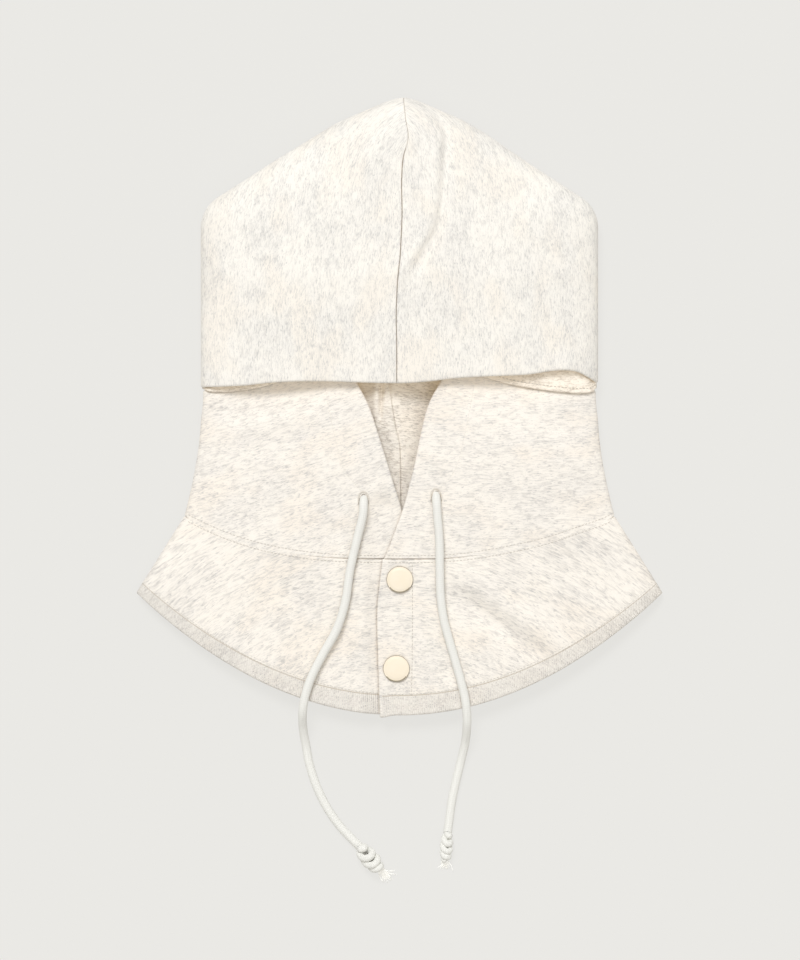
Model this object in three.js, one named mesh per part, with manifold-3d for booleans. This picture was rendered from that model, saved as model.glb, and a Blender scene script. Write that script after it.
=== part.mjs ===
// Hooded balaclava with a snap-front neck bib, laid flat on its back.
//
// Millimetres, +Z up, +Y towards the peak of the hood and +X to the right as seen from
// above; left and right in the names are as seen from above too. The origin is on the
// floor, under the middle of the garment without its cords. The back of the hood, neck and
// bib lies on the floor. The front lies over it, crowned by the air inside, and the two
// meet in a rounded fold along each side. Every cut panel is a sheet with a face and a
// back, and each layer is set in from the one outside it.

import * as THREE from 'three';
import { mergeVertices } from 'three/addons/utils/BufferGeometryUtils.js';
import Module from 'manifold-3d';

// ---- Driving sizes --------------------------------------------------------------------

const HOOD_WIDTH = 277; //          across the hood, laid flat
const NECK_WIDTH = 300; //          across the ends of the neck seam
const BIB_WIDTH = 368; //           across the corners of the bib
const GARMENT_LENGTH = 433; //      hood peak to the middle of the hem
const RIM_TO_PEAK = 201; //         brim's rim to the hood's peak
const BIB_DEPTH = 109; //           neck seam to hem on the centre line
const NECK_SEAM_RISE = 30; //       how far the ends of the neck seam rise above its middle
const HEM_RISE = 85; //             how far the bib's corners rise above the middle of the hem

const ROOF_SLOPE = 32.9 * Math.PI / 180; // slope of the hood's top edges
const PEAK_RADIUS = 52;
const SHOULDER_RADIUS = 25; //      between a top edge and the side of the hood

const HOOD_HEIGHT = 41; //          top of the hood at the brim's fold line
const PEAK_HEIGHT = 38; //          top of the hood near its peak
const NECK_HEIGHT = 28; //          top of the neck front
const BRIM_OVER_NECK = 7; //        the brim's top stands this far above the neck front at the rim
const HEM_HEIGHT = 16.5; //         top of the bib at the hem
const SIDE_FOLD_HEIGHT = 11; //     middle of the side fold on hood and neck
const BIB_FOLD_HEIGHT = 6; //       middle of the side fold at the bib's corners

const CLOTH = 1.6; //               shell cloth
const LINING = 1.2; //              lining and facing cloth
const GAP = 0.3; //                 clearance between pieces that touch

const FOLD_LINE_TO_RIM = 74; //     the brim lifts on a line this far above its rim
const NECK_TOP_UNDER_BRIM = 19; //  how far the neck front runs up under the brim
const BRIM_TUCK = 4.4; //           how much narrower the neck front is under the brim

const FACE_V_HALF_WIDTH = 29; //    half the face opening, at the rim
const V_ABOVE_SEAM = 34.5; //       from the neck seam up to the bottom of the V
const FACE_V_CURVE = 1.25; //       1 is a straight-sided V, more is a flared one
const FACE_V_SHIFT = 2; //          how far the bottom of the V lies to +X

const OVERLAP = 14.5; //            overlap and underlap reach this far past the centre
const FACING_WIDTH = 24;
const HEM_BAND = 14; //             turned-up hem
const SNAP_SPACE = 3.6; //          between overlap and underlap, filled by the snaps

const CORD_DIAMETER = 6;
const CORD_SIDES = 10;
const CORD_STEP = 2.5; //           tube steps are this many diameters long
const TUNNEL_DROP = CORD_DIAMETER + 2 * GAP; // the lining hangs lower round the hidden cord

const SNAP_CAP_RADIUS = 9;
const SNAP_CAP_RISE = 2.4;
const SNAP_SOCKET_RADIUS = 6.3;
const SNAP_STUD_RADIUS = 2.4; //    the stud's head
const SNAP_CLEARANCE = 0.5; //      round the head, in its socket
const SNAP_RIVET_RADIUS = 1.6;

// ---- Sizes worked out from them ------------------------------------------------------

const HALF = GARMENT_LENGTH / 2;
const PEAK_Y = HALF;
const HEM_Y = -HALF;
const RIM_Y = PEAK_Y - RIM_TO_PEAK;
const FOLD_Y = RIM_Y + FOLD_LINE_TO_RIM;
const NECK_Y = HEM_Y + BIB_DEPTH;
const NECK_END_Y = NECK_Y + NECK_SEAM_RISE;
const NECK_TOP_Y = RIM_Y + NECK_TOP_UNDER_BRIM;
const V_BOTTOM_Y = NECK_Y + V_ABOVE_SEAM;
const FACE_V_DEPTH = RIM_Y - V_BOTTOM_Y;
const FLARE_TOP_Y = RIM_Y - 25; //  the neck is as narrow as the hood from here up
const SLOPE_TOP_Y = RIM_Y - 56; //  the front slopes down to the hem from here
const FRONT_SLOPE = (NECK_HEIGHT - HEM_HEIGHT) / (SLOPE_TOP_Y - HEM_Y);

const RIM_HEIGHT = NECK_HEIGHT + BRIM_OVER_NECK; // top of the brim at its rim

const SEAM = GAP / 2; //            half the gap at a butted seam
const LINING_DEPTH = CLOTH + GAP;
const WALL = LINING_DEPTH + LINING;
const UNDERLAP_DROP = WALL + SNAP_SPACE;

const clamp01 = (t) => Math.min(1, Math.max(0, t));
const { lerp, smoothstep } = THREE.MathUtils;

// Values from 0 to 1 in equal steps.
function steps(count) {
  return Array.from({ length: count + 1 }, (_, i) => i / count);
}

// ---- The garment's shape -------------------------------------------------------------

// Half the width of hood and neck at a height y above the neck seam.
function halfWidth(y) {
  const flare = clamp01((FLARE_TOP_Y - y) / (FLARE_TOP_Y - NECK_END_Y));
  return HOOD_WIDTH / 2 + (NECK_WIDTH - HOOD_WIDTH) / 2 * flare ** 1.6;
}

// Half the width of the neck front, which is tucked in under the brim.
function neckHalfWidth(y) {
  const tuck = clamp01((y - (RIM_Y - 10)) / 6);
  return halfWidth(y) - BRIM_TUCK * tuck;
}

// Height of the middle of the side fold.
function foldHeight(y) {
  const down = clamp01((NECK_END_Y + 16 - y) / 70);
  return lerp(SIDE_FOLD_HEIGHT, BIB_FOLD_HEIGHT, down);
}

// Height of the top of the neck front and the bib on the centre line.
function frontHeight(y) {
  return NECK_HEIGHT - FRONT_SLOPE * Math.max(0, SLOPE_TOP_Y - y);
}

// Height of the top of the brim on the centre line.
function brimHeight(y) {
  return lerp(RIM_HEIGHT, HOOD_HEIGHT, clamp01((y - RIM_Y) / FOLD_LINE_TO_RIM));
}

// A point on a crowned front: a quarter ellipse from the centre line to the side fold.
function crowned(x, y, top, width, depth) {
  const fold = foldHeight(y);
  const across = clamp01(Math.abs(x) / (width - depth));
  return fold + SEAM + (top - depth - fold - SEAM) * Math.sqrt(1 - across * across);
}

const neckSeamY = (x) => NECK_Y + NECK_SEAM_RISE * (Math.abs(x) / (NECK_WIDTH / 2)) ** 2.8;
const hemY = (x) => HEM_Y + HEM_RISE * (x / (BIB_WIDTH / 2)) ** 2;

// Half the face opening at y. Below the V it is negative: there the two fronts overlap.
function faceHalf(y) {
  if (y < V_BOTTOM_Y) return 0.32 * (y - V_BOTTOM_Y);
  return FACE_V_HALF_WIDTH * ((y - V_BOTTOM_Y) / FACE_V_DEPTH) ** FACE_V_CURVE;
}

// Where the centre of the face opening lies at y.
function faceCentre(y) {
  return FACE_V_SHIFT * clamp01((RIM_Y - y) / FACE_V_DEPTH);
}

// How far the left front drops where it runs under the right one.
function underlapDrop(x, y) {
  const across = smoothstep(x, -OVERLAP - 10, -OVERLAP - 1.5);
  const along = smoothstep(-y, -V_BOTTOM_Y - 15, -V_BOTTOM_Y - 1);
  return UNDERLAP_DROP * across * along;
}

// ---- Tools for the shapes -------------------------------------------------------------

const wasm = await Module();
wasm.setup();

function bufferGeometry(points, faces) {
  const geometry = new THREE.BufferGeometry();
  geometry.setAttribute('position', new THREE.Float32BufferAttribute(points, 3));
  geometry.setIndex(faces);
  return geometry;
}

// Six times the volume that the faces enclose, negative where they point inwards.
function signedVolume(points, faces) {
  const corner = (i) => new THREE.Vector3().fromArray(points, 3 * i);
  let total = 0;
  for (let i = 0; i < faces.length; i += 3) {
    const [a, b, c] = [corner(faces[i]), corner(faces[i + 1]), corner(faces[i + 2])];
    total += a.dot(b.cross(c));
  }
  return total;
}

// A closed sheet: a grid for its face, the same grid for its back, and walls round the
// edge. face and back take a column and a row value and give a point.
function sheet(columns, rows, face, back) {
  const points = [];
  for (const side of [face, back]) {
    for (const row of rows) {
      for (const column of columns) points.push(...side(column, row));
    }
  }
  const faces = [];
  const [right, top] = [columns.length - 1, rows.length - 1];
  const at = (layer, i, j) => (layer * rows.length + j) * columns.length + i;
  const quad = (a, b, c, d) => faces.push(a, b, c, a, c, d);
  for (let j = 0; j < top; j += 1) {
    for (let i = 0; i < right; i += 1) {
      quad(at(0, i, j), at(0, i + 1, j), at(0, i + 1, j + 1), at(0, i, j + 1));
      quad(at(1, i, j), at(1, i, j + 1), at(1, i + 1, j + 1), at(1, i + 1, j));
    }
  }
  for (let i = 0; i < right; i += 1) {
    quad(at(0, i + 1, 0), at(0, i, 0), at(1, i, 0), at(1, i + 1, 0));
    quad(at(0, i, top), at(0, i + 1, top), at(1, i + 1, top), at(1, i, top));
  }
  for (let j = 0; j < top; j += 1) {
    quad(at(0, 0, j), at(0, 0, j + 1), at(1, 0, j + 1), at(1, 0, j));
    quad(at(0, right, j + 1), at(0, right, j), at(1, right, j), at(1, right, j + 1));
  }
  if (signedVolume(points, faces) < 0) faces.reverse();
  return bufferGeometry(points, faces);
}

function toSolid(geometry) {
  const bare = geometry.clone();
  bare.deleteAttribute('normal');
  bare.deleteAttribute('uv');
  const merged = mergeVertices(bare, 1e-4);
  return new wasm.Manifold(new wasm.Mesh({
    numProp: 3,
    vertProperties: new Float32Array(merged.attributes.position.array),
    triVerts: new Uint32Array(merged.index.array),
  }));
}

function toGeometry(solid) {
  const mesh = solid.getMesh();
  return bufferGeometry(Array.from(mesh.vertProperties), Array.from(mesh.triVerts));
}

const cut = (geometry, tool) => toGeometry(toSolid(geometry).subtract(toSolid(tool)));
const keep = (geometry, tool) => toGeometry(toSolid(geometry).intersect(toSolid(tool)));

// A round tube along a route.
function tube(route, diameter, sides) {
  const curve = new THREE.CatmullRomCurve3(route.map((p) => new THREE.Vector3(...p)), false, 'centripetal');
  const ring = steps(sides).slice(0, sides).map((t) => {
    const angle = t * 2 * Math.PI;
    return new THREE.Vector2(Math.cos(angle), Math.sin(angle)).multiplyScalar(diameter / 2);
  });
  const count = Math.max(2, Math.round(curve.getLength() / (CORD_STEP * diameter)));
  const section = new THREE.Shape(ring);
  return new THREE.ExtrudeGeometry(section, { steps: count, extrudePath: curve, curveSegments: 1 });
}

// ---- Cloth panels ---------------------------------------------------------------------

// Each panel is written for the +X side; side is 1 or -1 and puts it on that side.

// The section of the back: flat on the floor, then a quarter circle up to the side fold.
// s runs from 0 at the centre to 1 where the fold begins and 2 at its middle.
function backSection(s, y, width, depth) {
  const fold = foldHeight(y);
  if (s <= 1) return [SEAM + (width - fold - SEAM) * s, depth];
  const turn = (s - 1) * Math.PI / 2;
  return [width - fold + (fold - depth) * Math.sin(turn), fold - SEAM - (fold - SEAM - depth) * Math.cos(turn)];
}

const BACK_COLUMNS = [0, 0.5, 1, 1.25, 1.5, 1.75, 2];

// The lower back of hood and neck, from the neck seam up to the brim's fold line.
function hoodBack(side, depth, thickness) {
  const at = (inset) => (s, v) => {
    const [startX] = backSection(s, NECK_END_Y, NECK_WIDTH / 2, inset);
    const y = lerp(neckSeamY(startX) + SEAM, FOLD_Y - SEAM, v);
    const [x, z] = backSection(s, y, halfWidth(y), inset);
    return [side * x, y, z];
  };
  return sheet(BACK_COLUMNS, steps(5), at(depth), at(depth + thickness));
}

// The outline of the crown from the brim's fold line round to the peak.
function crownOutline() {
  const half = HOOD_WIDTH / 2;
  const lift = 1 / Math.cos(ROOF_SLOPE) - 1;
  const ridge = PEAK_Y + PEAK_RADIUS * lift; // where the two straight top edges would meet
  const corner = new THREE.Vector2(half, ridge - half * Math.tan(ROOF_SLOPE));
  const turn = Math.PI / 2 - ROOF_SLOPE;
  const back = SHOULDER_RADIUS * Math.tan(turn / 2);
  const path = new THREE.Path();
  path.moveTo(half, FOLD_Y + SEAM);
  path.lineTo(half, corner.y - back);
  path.absarc(half - SHOULDER_RADIUS, corner.y - back, SHOULDER_RADIUS, 0, turn, false);
  path.lineTo(PEAK_RADIUS * Math.sin(ROOF_SLOPE), ridge - PEAK_RADIUS * Math.sin(ROOF_SLOPE) * Math.tan(ROOF_SLOPE));
  path.absarc(0, PEAK_Y - PEAK_RADIUS, PEAK_RADIUS, turn, Math.PI / 2, false);
  return path;
}

// The crown: the front above the fold line, the fold round its edge and the back under it.
function hoodCrown(side, depth, thickness) {
  const outline = crownOutline();
  const spineTop = PEAK_Y - PEAK_HEIGHT;
  const at = (inset) => (s, u) => {
    const edge = outline.getPointAt(u);
    const tangent = outline.getTangentAt(u);
    edge.addScaledVector(new THREE.Vector2(tangent.y, -tangent.x), -inset);
    const spine = new THREE.Vector2(SEAM, lerp(FOLD_Y + SEAM, spineTop, u));
    edge.x = Math.max(edge.x, SEAM);
    if (u === 0) edge.y = FOLD_Y + SEAM;
    const fold = SIDE_FOLD_HEIGHT;
    const along = edge.clone().sub(spine);
    if (s <= 1) {
      const turn = s * Math.PI / 2;
      const top = lerp(HOOD_HEIGHT, PEAK_HEIGHT, u) - inset;
      const point = spine.addScaledVector(along, Math.sin(turn));
      return [side * point.x, point.y, fold + (top - fold) * Math.cos(turn)];
    }
    const reach = along.length();
    const radius = Math.min(fold, reach) - inset;
    if (s <= 2) {
      const turn = (s - 1) * Math.PI / 2;
      const point = edge.addScaledVector(along, -radius * (1 - Math.cos(turn)) / reach);
      return [side * point.x, point.y, fold - (fold - inset) * Math.sin(turn)];
    }
    const point = edge.addScaledVector(along, -radius / reach).lerp(spine, s - 2);
    return [side * point.x, point.y, inset];
  };
  const columns = [0, 0.17, 0.34, 0.5, 0.67, 0.84, 1, 1.34, 1.67, 2, 3];
  return sheet(columns, steps(10), at(depth), at(depth + thickness));
}

// The brim, which has dropped over the face opening: the front below the fold line.
function brim(side, depth, thickness) {
  const at = (inset) => (c, v) => {
    const y = lerp(RIM_Y, FOLD_Y - SEAM, v);
    const width = halfWidth(y);
    const x = lerp(SEAM, width - inset, Math.sin(c * Math.PI / 2));
    return [side * x, y, crowned(x, y, brimHeight(y), width, inset)];
  };
  return sheet(steps(7), steps(3), at(depth), at(depth + thickness));
}

// How far the lining hangs below its place, round the hidden cord. c runs from the edge of
// the face opening to the side.
function tunnelDrop(c, y) {
  const across = smoothstep(c, 0.02, 0.1) * (1 - smoothstep(c, 0.27, 0.36));
  return TUNNEL_DROP * across * smoothstep(y, V_BOTTOM_Y - 12, V_BOTTOM_Y);
}

// Rows of the neck front, as shares of its height. One lies just below the bottom of the V
// and one just above it, and one lies under the rim, where the brim's tuck is complete.
const BELOW_V_ROW = (V_BOTTOM_Y - 3.26 - NECK_Y) / (NECK_TOP_Y - NECK_Y);
const ABOVE_V_ROW = (V_BOTTOM_Y + 13.78 - NECK_Y) / (NECK_TOP_Y - NECK_Y);
const TUCK_ROW = 1 - 20.16 / (NECK_TOP_Y - NECK_END_Y);
const NECK_ROWS = [
  0, BELOW_V_ROW * 6 / 11, BELOW_V_ROW, ABOVE_V_ROW, lerp(ABOVE_V_ROW, TUCK_ROW, 1 / 3),
  lerp(ABOVE_V_ROW, TUCK_ROW, 2 / 3), TUCK_ROW, 1,
];

// A neck front, from the neck seam up to its top edge under the brim.
function neckFront(side, depth, thickness) {
  const lined = depth > 0;
  const edgeAt = (y) => faceHalf(y) + side * faceCentre(y);
  const at = (inset) => (c, v) => {
    const footX = lerp(edgeAt(NECK_Y), NECK_WIDTH / 2, c);
    const y = lerp(neckSeamY(footX) + SEAM, NECK_TOP_Y, v);
    const width = neckHalfWidth(y);
    const x = lerp(edgeAt(y), width - inset, c);
    const drop = (side < 0 ? underlapDrop(-x, y) : 0) + (lined ? tunnelDrop(c, y) : 0);
    return [side * x, y, crowned(x, y, frontHeight(y), width, inset) - drop];
  };
  const columns = [0, 0.04, 0.1, 0.16, 0.22, 0.28, 0.37, 0.5, 0.64, 0.77, 0.87, 0.95, 1];
  return sheet(columns, NECK_ROWS, at(depth), at(depth + thickness));
}

// The bib's back, which lies on the floor. from and to run from the neck seam to the hem.
function bibBack(depth, thickness, from, to) {
  const at = (inset) => (s, v) => {
    const side = Math.sign(s);
    const [topX] = backSection(Math.abs(s), NECK_END_Y, NECK_WIDTH / 2, inset);
    const [lowX] = backSection(Math.abs(s), HEM_Y, BIB_WIDTH / 2, inset);
    const y = lerp(neckSeamY(topX) - SEAM, hemY(lowX), v);
    const [x, z] = backSection(Math.abs(s), y, lerp(NECK_WIDTH, BIB_WIDTH, v) / 2, inset);
    return [side * x, y, z];
  };
  const half = BACK_COLUMNS.slice(1);
  const columns = [...half.toReversed().map((s) => -s), 0, ...half];
  return sheet(columns, steps(4).map((t) => lerp(from, to, t)), at(depth), at(depth + thickness));
}

// A bib front, a facing or a hem band: side says which front, and first and last say which
// part of its width, from to which part of its depth.
function bibFront(side, depth, thickness, range) {
  const { first = 0, last = 1, from = 0, to = 1, columns = 13, rows = 5 } = range;
  const at = (inset) => (t, r) => {
    const c = lerp(first, last, t);
    const v = lerp(from, to, r);
    const across = Math.sin(c * Math.PI / 2);
    const topX = lerp(-OVERLAP + 2, NECK_WIDTH / 2 - inset, across);
    const lowX = lerp(-OVERLAP, BIB_WIDTH / 2 - inset, across);
    const x = lerp(topX, lowX, v);
    const y = lerp(neckSeamY(topX) - GAP, hemY(lowX), v);
    const width = lerp(NECK_WIDTH, BIB_WIDTH, v) / 2;
    const drop = side < 0 ? underlapDrop(-x, y) : 0;
    return [side * x, y, crowned(x, y, frontHeight(y), width, inset) - drop];
  };
  return sheet(steps(columns), steps(rows), at(depth), at(depth + thickness));
}

const HEM_SHARE = HEM_BAND / BIB_DEPTH;
const FACING_SHARE = Math.asin(FACING_WIDTH / (NECK_WIDTH / 2 + OVERLAP)) / (Math.PI / 2);
const hemRange = { from: 1 - HEM_SHARE, rows: 1 };
const facingRange = { last: FACING_SHARE, to: 1 - HEM_SHARE - 0.01, columns: 3, rows: 4 };

// The strip of the face opening's edge that turns back under a corner of the brim.
function rimTurn(side, innerX, outerX, innerY, outerY) {
  const at = (rise) => (c, v) => {
    const x = lerp(innerX, outerX, c);
    const y = lerp(lerp(innerY, outerY, c), RIM_Y + 12, v);
    const top = crowned(x, y, frontHeight(y), neckHalfWidth(y), 0);
    return [side * x, y, top + rise];
  };
  return sheet(steps(4), [0, 0.3, 0.55, 1], at(GAP + LINING), at(GAP));
}

// ---- The placket's fold line ----------------------------------------------------------

// The overlap peels open about this line. It runs from just above the bottom of the V down
// to the hem, clear of the snaps on one side and of the drawcord on the other.
const FOLD_TOP = new THREE.Vector2(5, V_BOTTOM_Y);
const FOLD_FOOT = new THREE.Vector2(36, HEM_Y);
const FOLD_CUT = 2 * GAP;

// A block that fills the overlap's side of the fold line, up to the given distance past it.
function overlapSide(past) {
  const along = FOLD_TOP.clone().sub(FOLD_FOOT);
  const block = new THREE.BoxGeometry(200, 3 * along.length(), 200);
  block.translate(past - 100, 0, 0);
  block.rotateZ(Math.atan2(-along.x, along.y));
  const middle = FOLD_TOP.clone().lerp(FOLD_FOOT, 0.5);
  block.translate(middle.x, middle.y, 0);
  return block;
}

const peels = (geometry) => keep(geometry, overlapSide(-FOLD_CUT / 2));
const stays = (geometry) => cut(geometry, overlapSide(FOLD_CUT / 2));

// ---- Snaps ------------------------------------------------------------------------------

// Heights along a snap's own axis, from the top of the overlap's cloth.
const SOCKET_TOP = -WALL - GAP;
const SOCKET_FOOT = SOCKET_TOP - 2.2;
const STUD_BASE_TOP = SOCKET_FOOT - GAP;
const STUD_BASE_FOOT = -UNDERLAP_DROP + GAP;
const STUD_HEAD_TOP = SOCKET_TOP - 0.9;
const POST_TOP = -UNDERLAP_DROP - WALL - GAP;

const lathe = (profile, segments = 16) =>
  new THREE.LatheGeometry(profile.map(([r, z]) => new THREE.Vector2(r, z)), segments).rotateX(Math.PI / 2);

function snapCap() {
  const rivetFoot = SOCKET_TOP - 0.5;
  return lathe([
    [0, rivetFoot], [SNAP_RIVET_RADIUS, rivetFoot], [SNAP_RIVET_RADIUS, GAP],
    [SNAP_CAP_RADIUS - 0.4, GAP], [SNAP_CAP_RADIUS, GAP + 0.5], [SNAP_CAP_RADIUS - 0.5, GAP + 1.2],
    [SNAP_CAP_RADIUS * 0.75, GAP + SNAP_CAP_RISE * 0.8], [SNAP_CAP_RADIUS * 0.4, GAP + SNAP_CAP_RISE * 0.96],
    [0, GAP + SNAP_CAP_RISE],
  ]);
}

function snapSocket() {
  const hollow = SNAP_STUD_RADIUS + SNAP_CLEARANCE;
  const hole = SNAP_RIVET_RADIUS + GAP;
  return lathe([
    [hole, SOCKET_TOP], [hole, SOCKET_TOP - 0.6], [hollow, SOCKET_TOP - 0.6], [hollow, SOCKET_FOOT],
    [SNAP_SOCKET_RADIUS - 0.5, SOCKET_FOOT], [SNAP_SOCKET_RADIUS, SOCKET_FOOT + 0.6],
    [SNAP_SOCKET_RADIUS, SOCKET_TOP], [hole, SOCKET_TOP],
  ]);
}

function snapStud() {
  const bore = SNAP_RIVET_RADIUS;
  return lathe([
    [0, STUD_BASE_TOP + 0.5], [bore, STUD_BASE_TOP + 0.5], [bore, STUD_BASE_FOOT],
    [SNAP_SOCKET_RADIUS - 0.3, STUD_BASE_FOOT], [SNAP_SOCKET_RADIUS - 0.3, STUD_BASE_TOP],
    [SNAP_STUD_RADIUS - 0.3, STUD_BASE_TOP], [SNAP_STUD_RADIUS - 0.1, STUD_HEAD_TOP - 0.8],
    [SNAP_STUD_RADIUS * 0.65, STUD_HEAD_TOP - 0.2], [0, STUD_HEAD_TOP],
  ]);
}

function snapPost() {
  const pin = SNAP_RIVET_RADIUS - GAP;
  const flange = SNAP_SOCKET_RADIUS - 1;
  return lathe([
    [0, POST_TOP - 0.8], [flange, POST_TOP - 0.8], [flange, POST_TOP], [pin, POST_TOP],
    [pin, STUD_BASE_TOP + 0.5 - GAP], [0, STUD_BASE_TOP + 0.5 - GAP],
  ]);
}

const SNAPS = [
  { name: 'upper', x: 0.2, y: NECK_Y - 14 },
  { name: 'lower', x: -2.2, y: NECK_Y - 76 },
];

// A hole through the cloth for a snap's rivet, where the snap stands.
function rivetHole(snap, radius) {
  const hole = new THREE.CylinderGeometry(radius, radius, 60, 16).rotateX(Math.PI / 2);
  return hole.rotateX(Math.atan(FRONT_SLOPE)).translate(snap.x, snap.y, frontHeight(snap.y));
}

const pierced = (geometry, radius) =>
  SNAPS.reduce((shape, snap) => cut(shape, rivetHole(snap, radius)), geometry);

const overlapPierced = (geometry) => pierced(geometry, SNAP_RIVET_RADIUS + GAP);
const underlapPierced = (geometry) => pierced(geometry, SNAP_RIVET_RADIUS);

// ---- Drawcord ---------------------------------------------------------------------------

// The cloth that cords and patches follow, added as it is made.
const fronts = [];
const downwards = new THREE.Raycaster();

// Height of the top of the neck front or bib front at x, y. In the seam between two panels
// it is the formula's height.
function clothTop(x, y) {
  downwards.set(new THREE.Vector3(x, y, 500), new THREE.Vector3(0, 0, -1));
  const [hit] = downwards.intersectObjects(fronts);
  return hit ? hit.point.z : crowned(x, y, frontHeight(y), NECK_WIDTH / 2, 0);
}

const CORD_LIFT = CORD_DIAMETER / 2 + 0.7; // cord's middle above the cloth it lies on
const CORD_ON_FLOOR = CORD_DIAMETER / 2 + 0.15;

// The free ends' routes. A point with two numbers lies on the cloth.
const LEFT_ROUTE = [
  [-24.7, -63.5], [-25.2, -77], [-29.5, -94], [-34.2, -114.7], [-37.6, -137], [-43.5, -156],
  [-52.9, -173], [-61, -189], [-65.4, -202], [-67.4, -214, 18], [-67.3, -226, 9.5], [-65.4, -238, 4.4],
  [-63, -251, CORD_ON_FLOOR], [-58.2, -266, CORD_ON_FLOOR], [-51, -281, CORD_ON_FLOOR],
  [-42, -294, CORD_ON_FLOOR], [-34, -302.7, CORD_ON_FLOOR], [-27, -309.7, CORD_ON_FLOOR],
];
const RIGHT_ROUTE = [
  [25.2, -62.5], [26.4, -79], [27.8, -96], [28, -115], [28.6, -133], [31, -150.4], [35.6, -167.2],
  [40.4, -184], [44.4, -199], [46.4, -210], [47, -222, 17], [46, -235, 8.5], [43.2, -248, 4],
  [39.8, -262, CORD_ON_FLOOR], [36.8, -276, CORD_ON_FLOOR], [34.9, -289, CORD_ON_FLOOR],
  [33.6, -299.5, CORD_ON_FLOOR],
];
// The hidden stretch in each tunnel, from the buttonhole up under the brim.
const LEFT_HIDDEN = [[-25.5, -56.6], [-27.5, -42], [-31, -22], [-36, -2], [-42, 15], [-49, 28]];
const RIGHT_HIDDEN = [[25.6, -57.2], [27.5, -42], [31, -22], [36, -2], [42, 15], [49, 28]];

const onCloth = (route, lift) => route.map(([x, y, z]) => [x, y, z ?? clothTop(x, y) + lift]);

// A knot with the frayed end of the cord past it, turned about the cord's line.
function knot(start, end, radius, neck) {
  const reach = Math.hypot(end[0] - start[0], end[1] - start[1]);
  const shape = lathe([
    [0, GAP], [neck, GAP], [radius * 0.8, reach * 0.1], [radius, reach * 0.3], [radius * 0.92, reach * 0.48],
    [neck, reach * 0.66], [neck * 1.3, reach * 0.98], [0, reach],
  ], 12);
  shape.rotateX(Math.PI / 2); // the lathe's axis, +Z, turns to -Y
  shape.rotateZ(Math.atan2(end[0] - start[0], start[1] - end[1]));
  return shape.translate(start[0], start[1], radius + 0.1);
}

// A stay patch behind a buttonhole, with the slot cut through it.
function buttonholePatch(x, y) {
  const [width, depth, slotWidth, slotDepth] = [14, 10, 4, 6];
  const at = (inset) => (c, v) => {
    const [px, py] = [x + width * (c - 0.5), y + depth * (v - 0.5)];
    return [px, py, clothTop(px, py) - inset];
  };
  const slot = new THREE.BoxGeometry(slotWidth, slotDepth, 100).translate(x, y, 0);
  const patch = sheet(steps(4), steps(2), at(LINING_DEPTH + 0.5), at(LINING_DEPTH + 1.2));
  return cut(patch, slot);
}

// ---- Assembly ---------------------------------------------------------------------------

const shellCloth = new THREE.MeshStandardMaterial({ color: 0xf5f1e8, roughness: 0.95, metalness: 0 });
const liningCloth = new THREE.MeshStandardMaterial({ color: 0xece4d6, roughness: 0.95, metalness: 0 });
const bibCloth = new THREE.MeshStandardMaterial({ color: 0xf1ede2, roughness: 0.95, metalness: 0 });
const hemCloth = new THREE.MeshStandardMaterial({ color: 0xe9e5dc, roughness: 0.95, metalness: 0 });
const cordYarn = new THREE.MeshStandardMaterial({ color: 0xf0efe9, roughness: 0.9, metalness: 0 });
const capResin = new THREE.MeshStandardMaterial({ color: 0xf7ecd7, roughness: 0.35, metalness: 0 });
const snapMetal = new THREE.MeshStandardMaterial({ color: 0xcfc9bd, roughness: 0.35, metalness: 0.8 });

const balaclava = new THREE.Group();

function add(name, geometry, material) {
  const mesh = new THREE.Mesh(geometry, material);
  mesh.name = name;
  balaclava.add(mesh);
  return mesh;
}

const SIDES = [['left', -1], ['right', 1]];

for (const [name, side] of SIDES) {
  add(`hood_crown_${name}`, hoodCrown(side, 0, CLOTH), shellCloth);
  add(`hood_crown_${name}_lining`, hoodCrown(side, LINING_DEPTH, LINING), liningCloth);
  add(`hood_back_${name}`, hoodBack(side, 0, CLOTH), shellCloth);
  add(`hood_back_${name}_lining`, hoodBack(side, LINING_DEPTH, LINING), liningCloth);
  add(`brim_${name}`, brim(side, 0, CLOTH), shellCloth);
  add(`brim_${name}_lining`, brim(side, LINING_DEPTH, LINING), liningCloth);
}

fronts.push(add('neck_front_left', neckFront(-1, 0, CLOTH), shellCloth));
add('neck_front_left_lining', neckFront(-1, LINING_DEPTH, LINING), liningCloth);
fronts.push(add('neck_front_right', stays(neckFront(1, 0, CLOTH)), shellCloth));
add('neck_front_right_lining', stays(neckFront(1, LINING_DEPTH, LINING)), liningCloth);
add('neck_overlap', peels(neckFront(1, 0, CLOTH)), shellCloth);
add('neck_overlap_lining', peels(neckFront(1, LINING_DEPTH, LINING)), liningCloth);
add('rim_turn_left', rimTurn(-1, 92, 120, RIM_Y - 1.5, RIM_Y - 3.5), liningCloth);
add('rim_turn_right', rimTurn(1, 60, 120, RIM_Y + 4, RIM_Y - 7), liningCloth);

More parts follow.
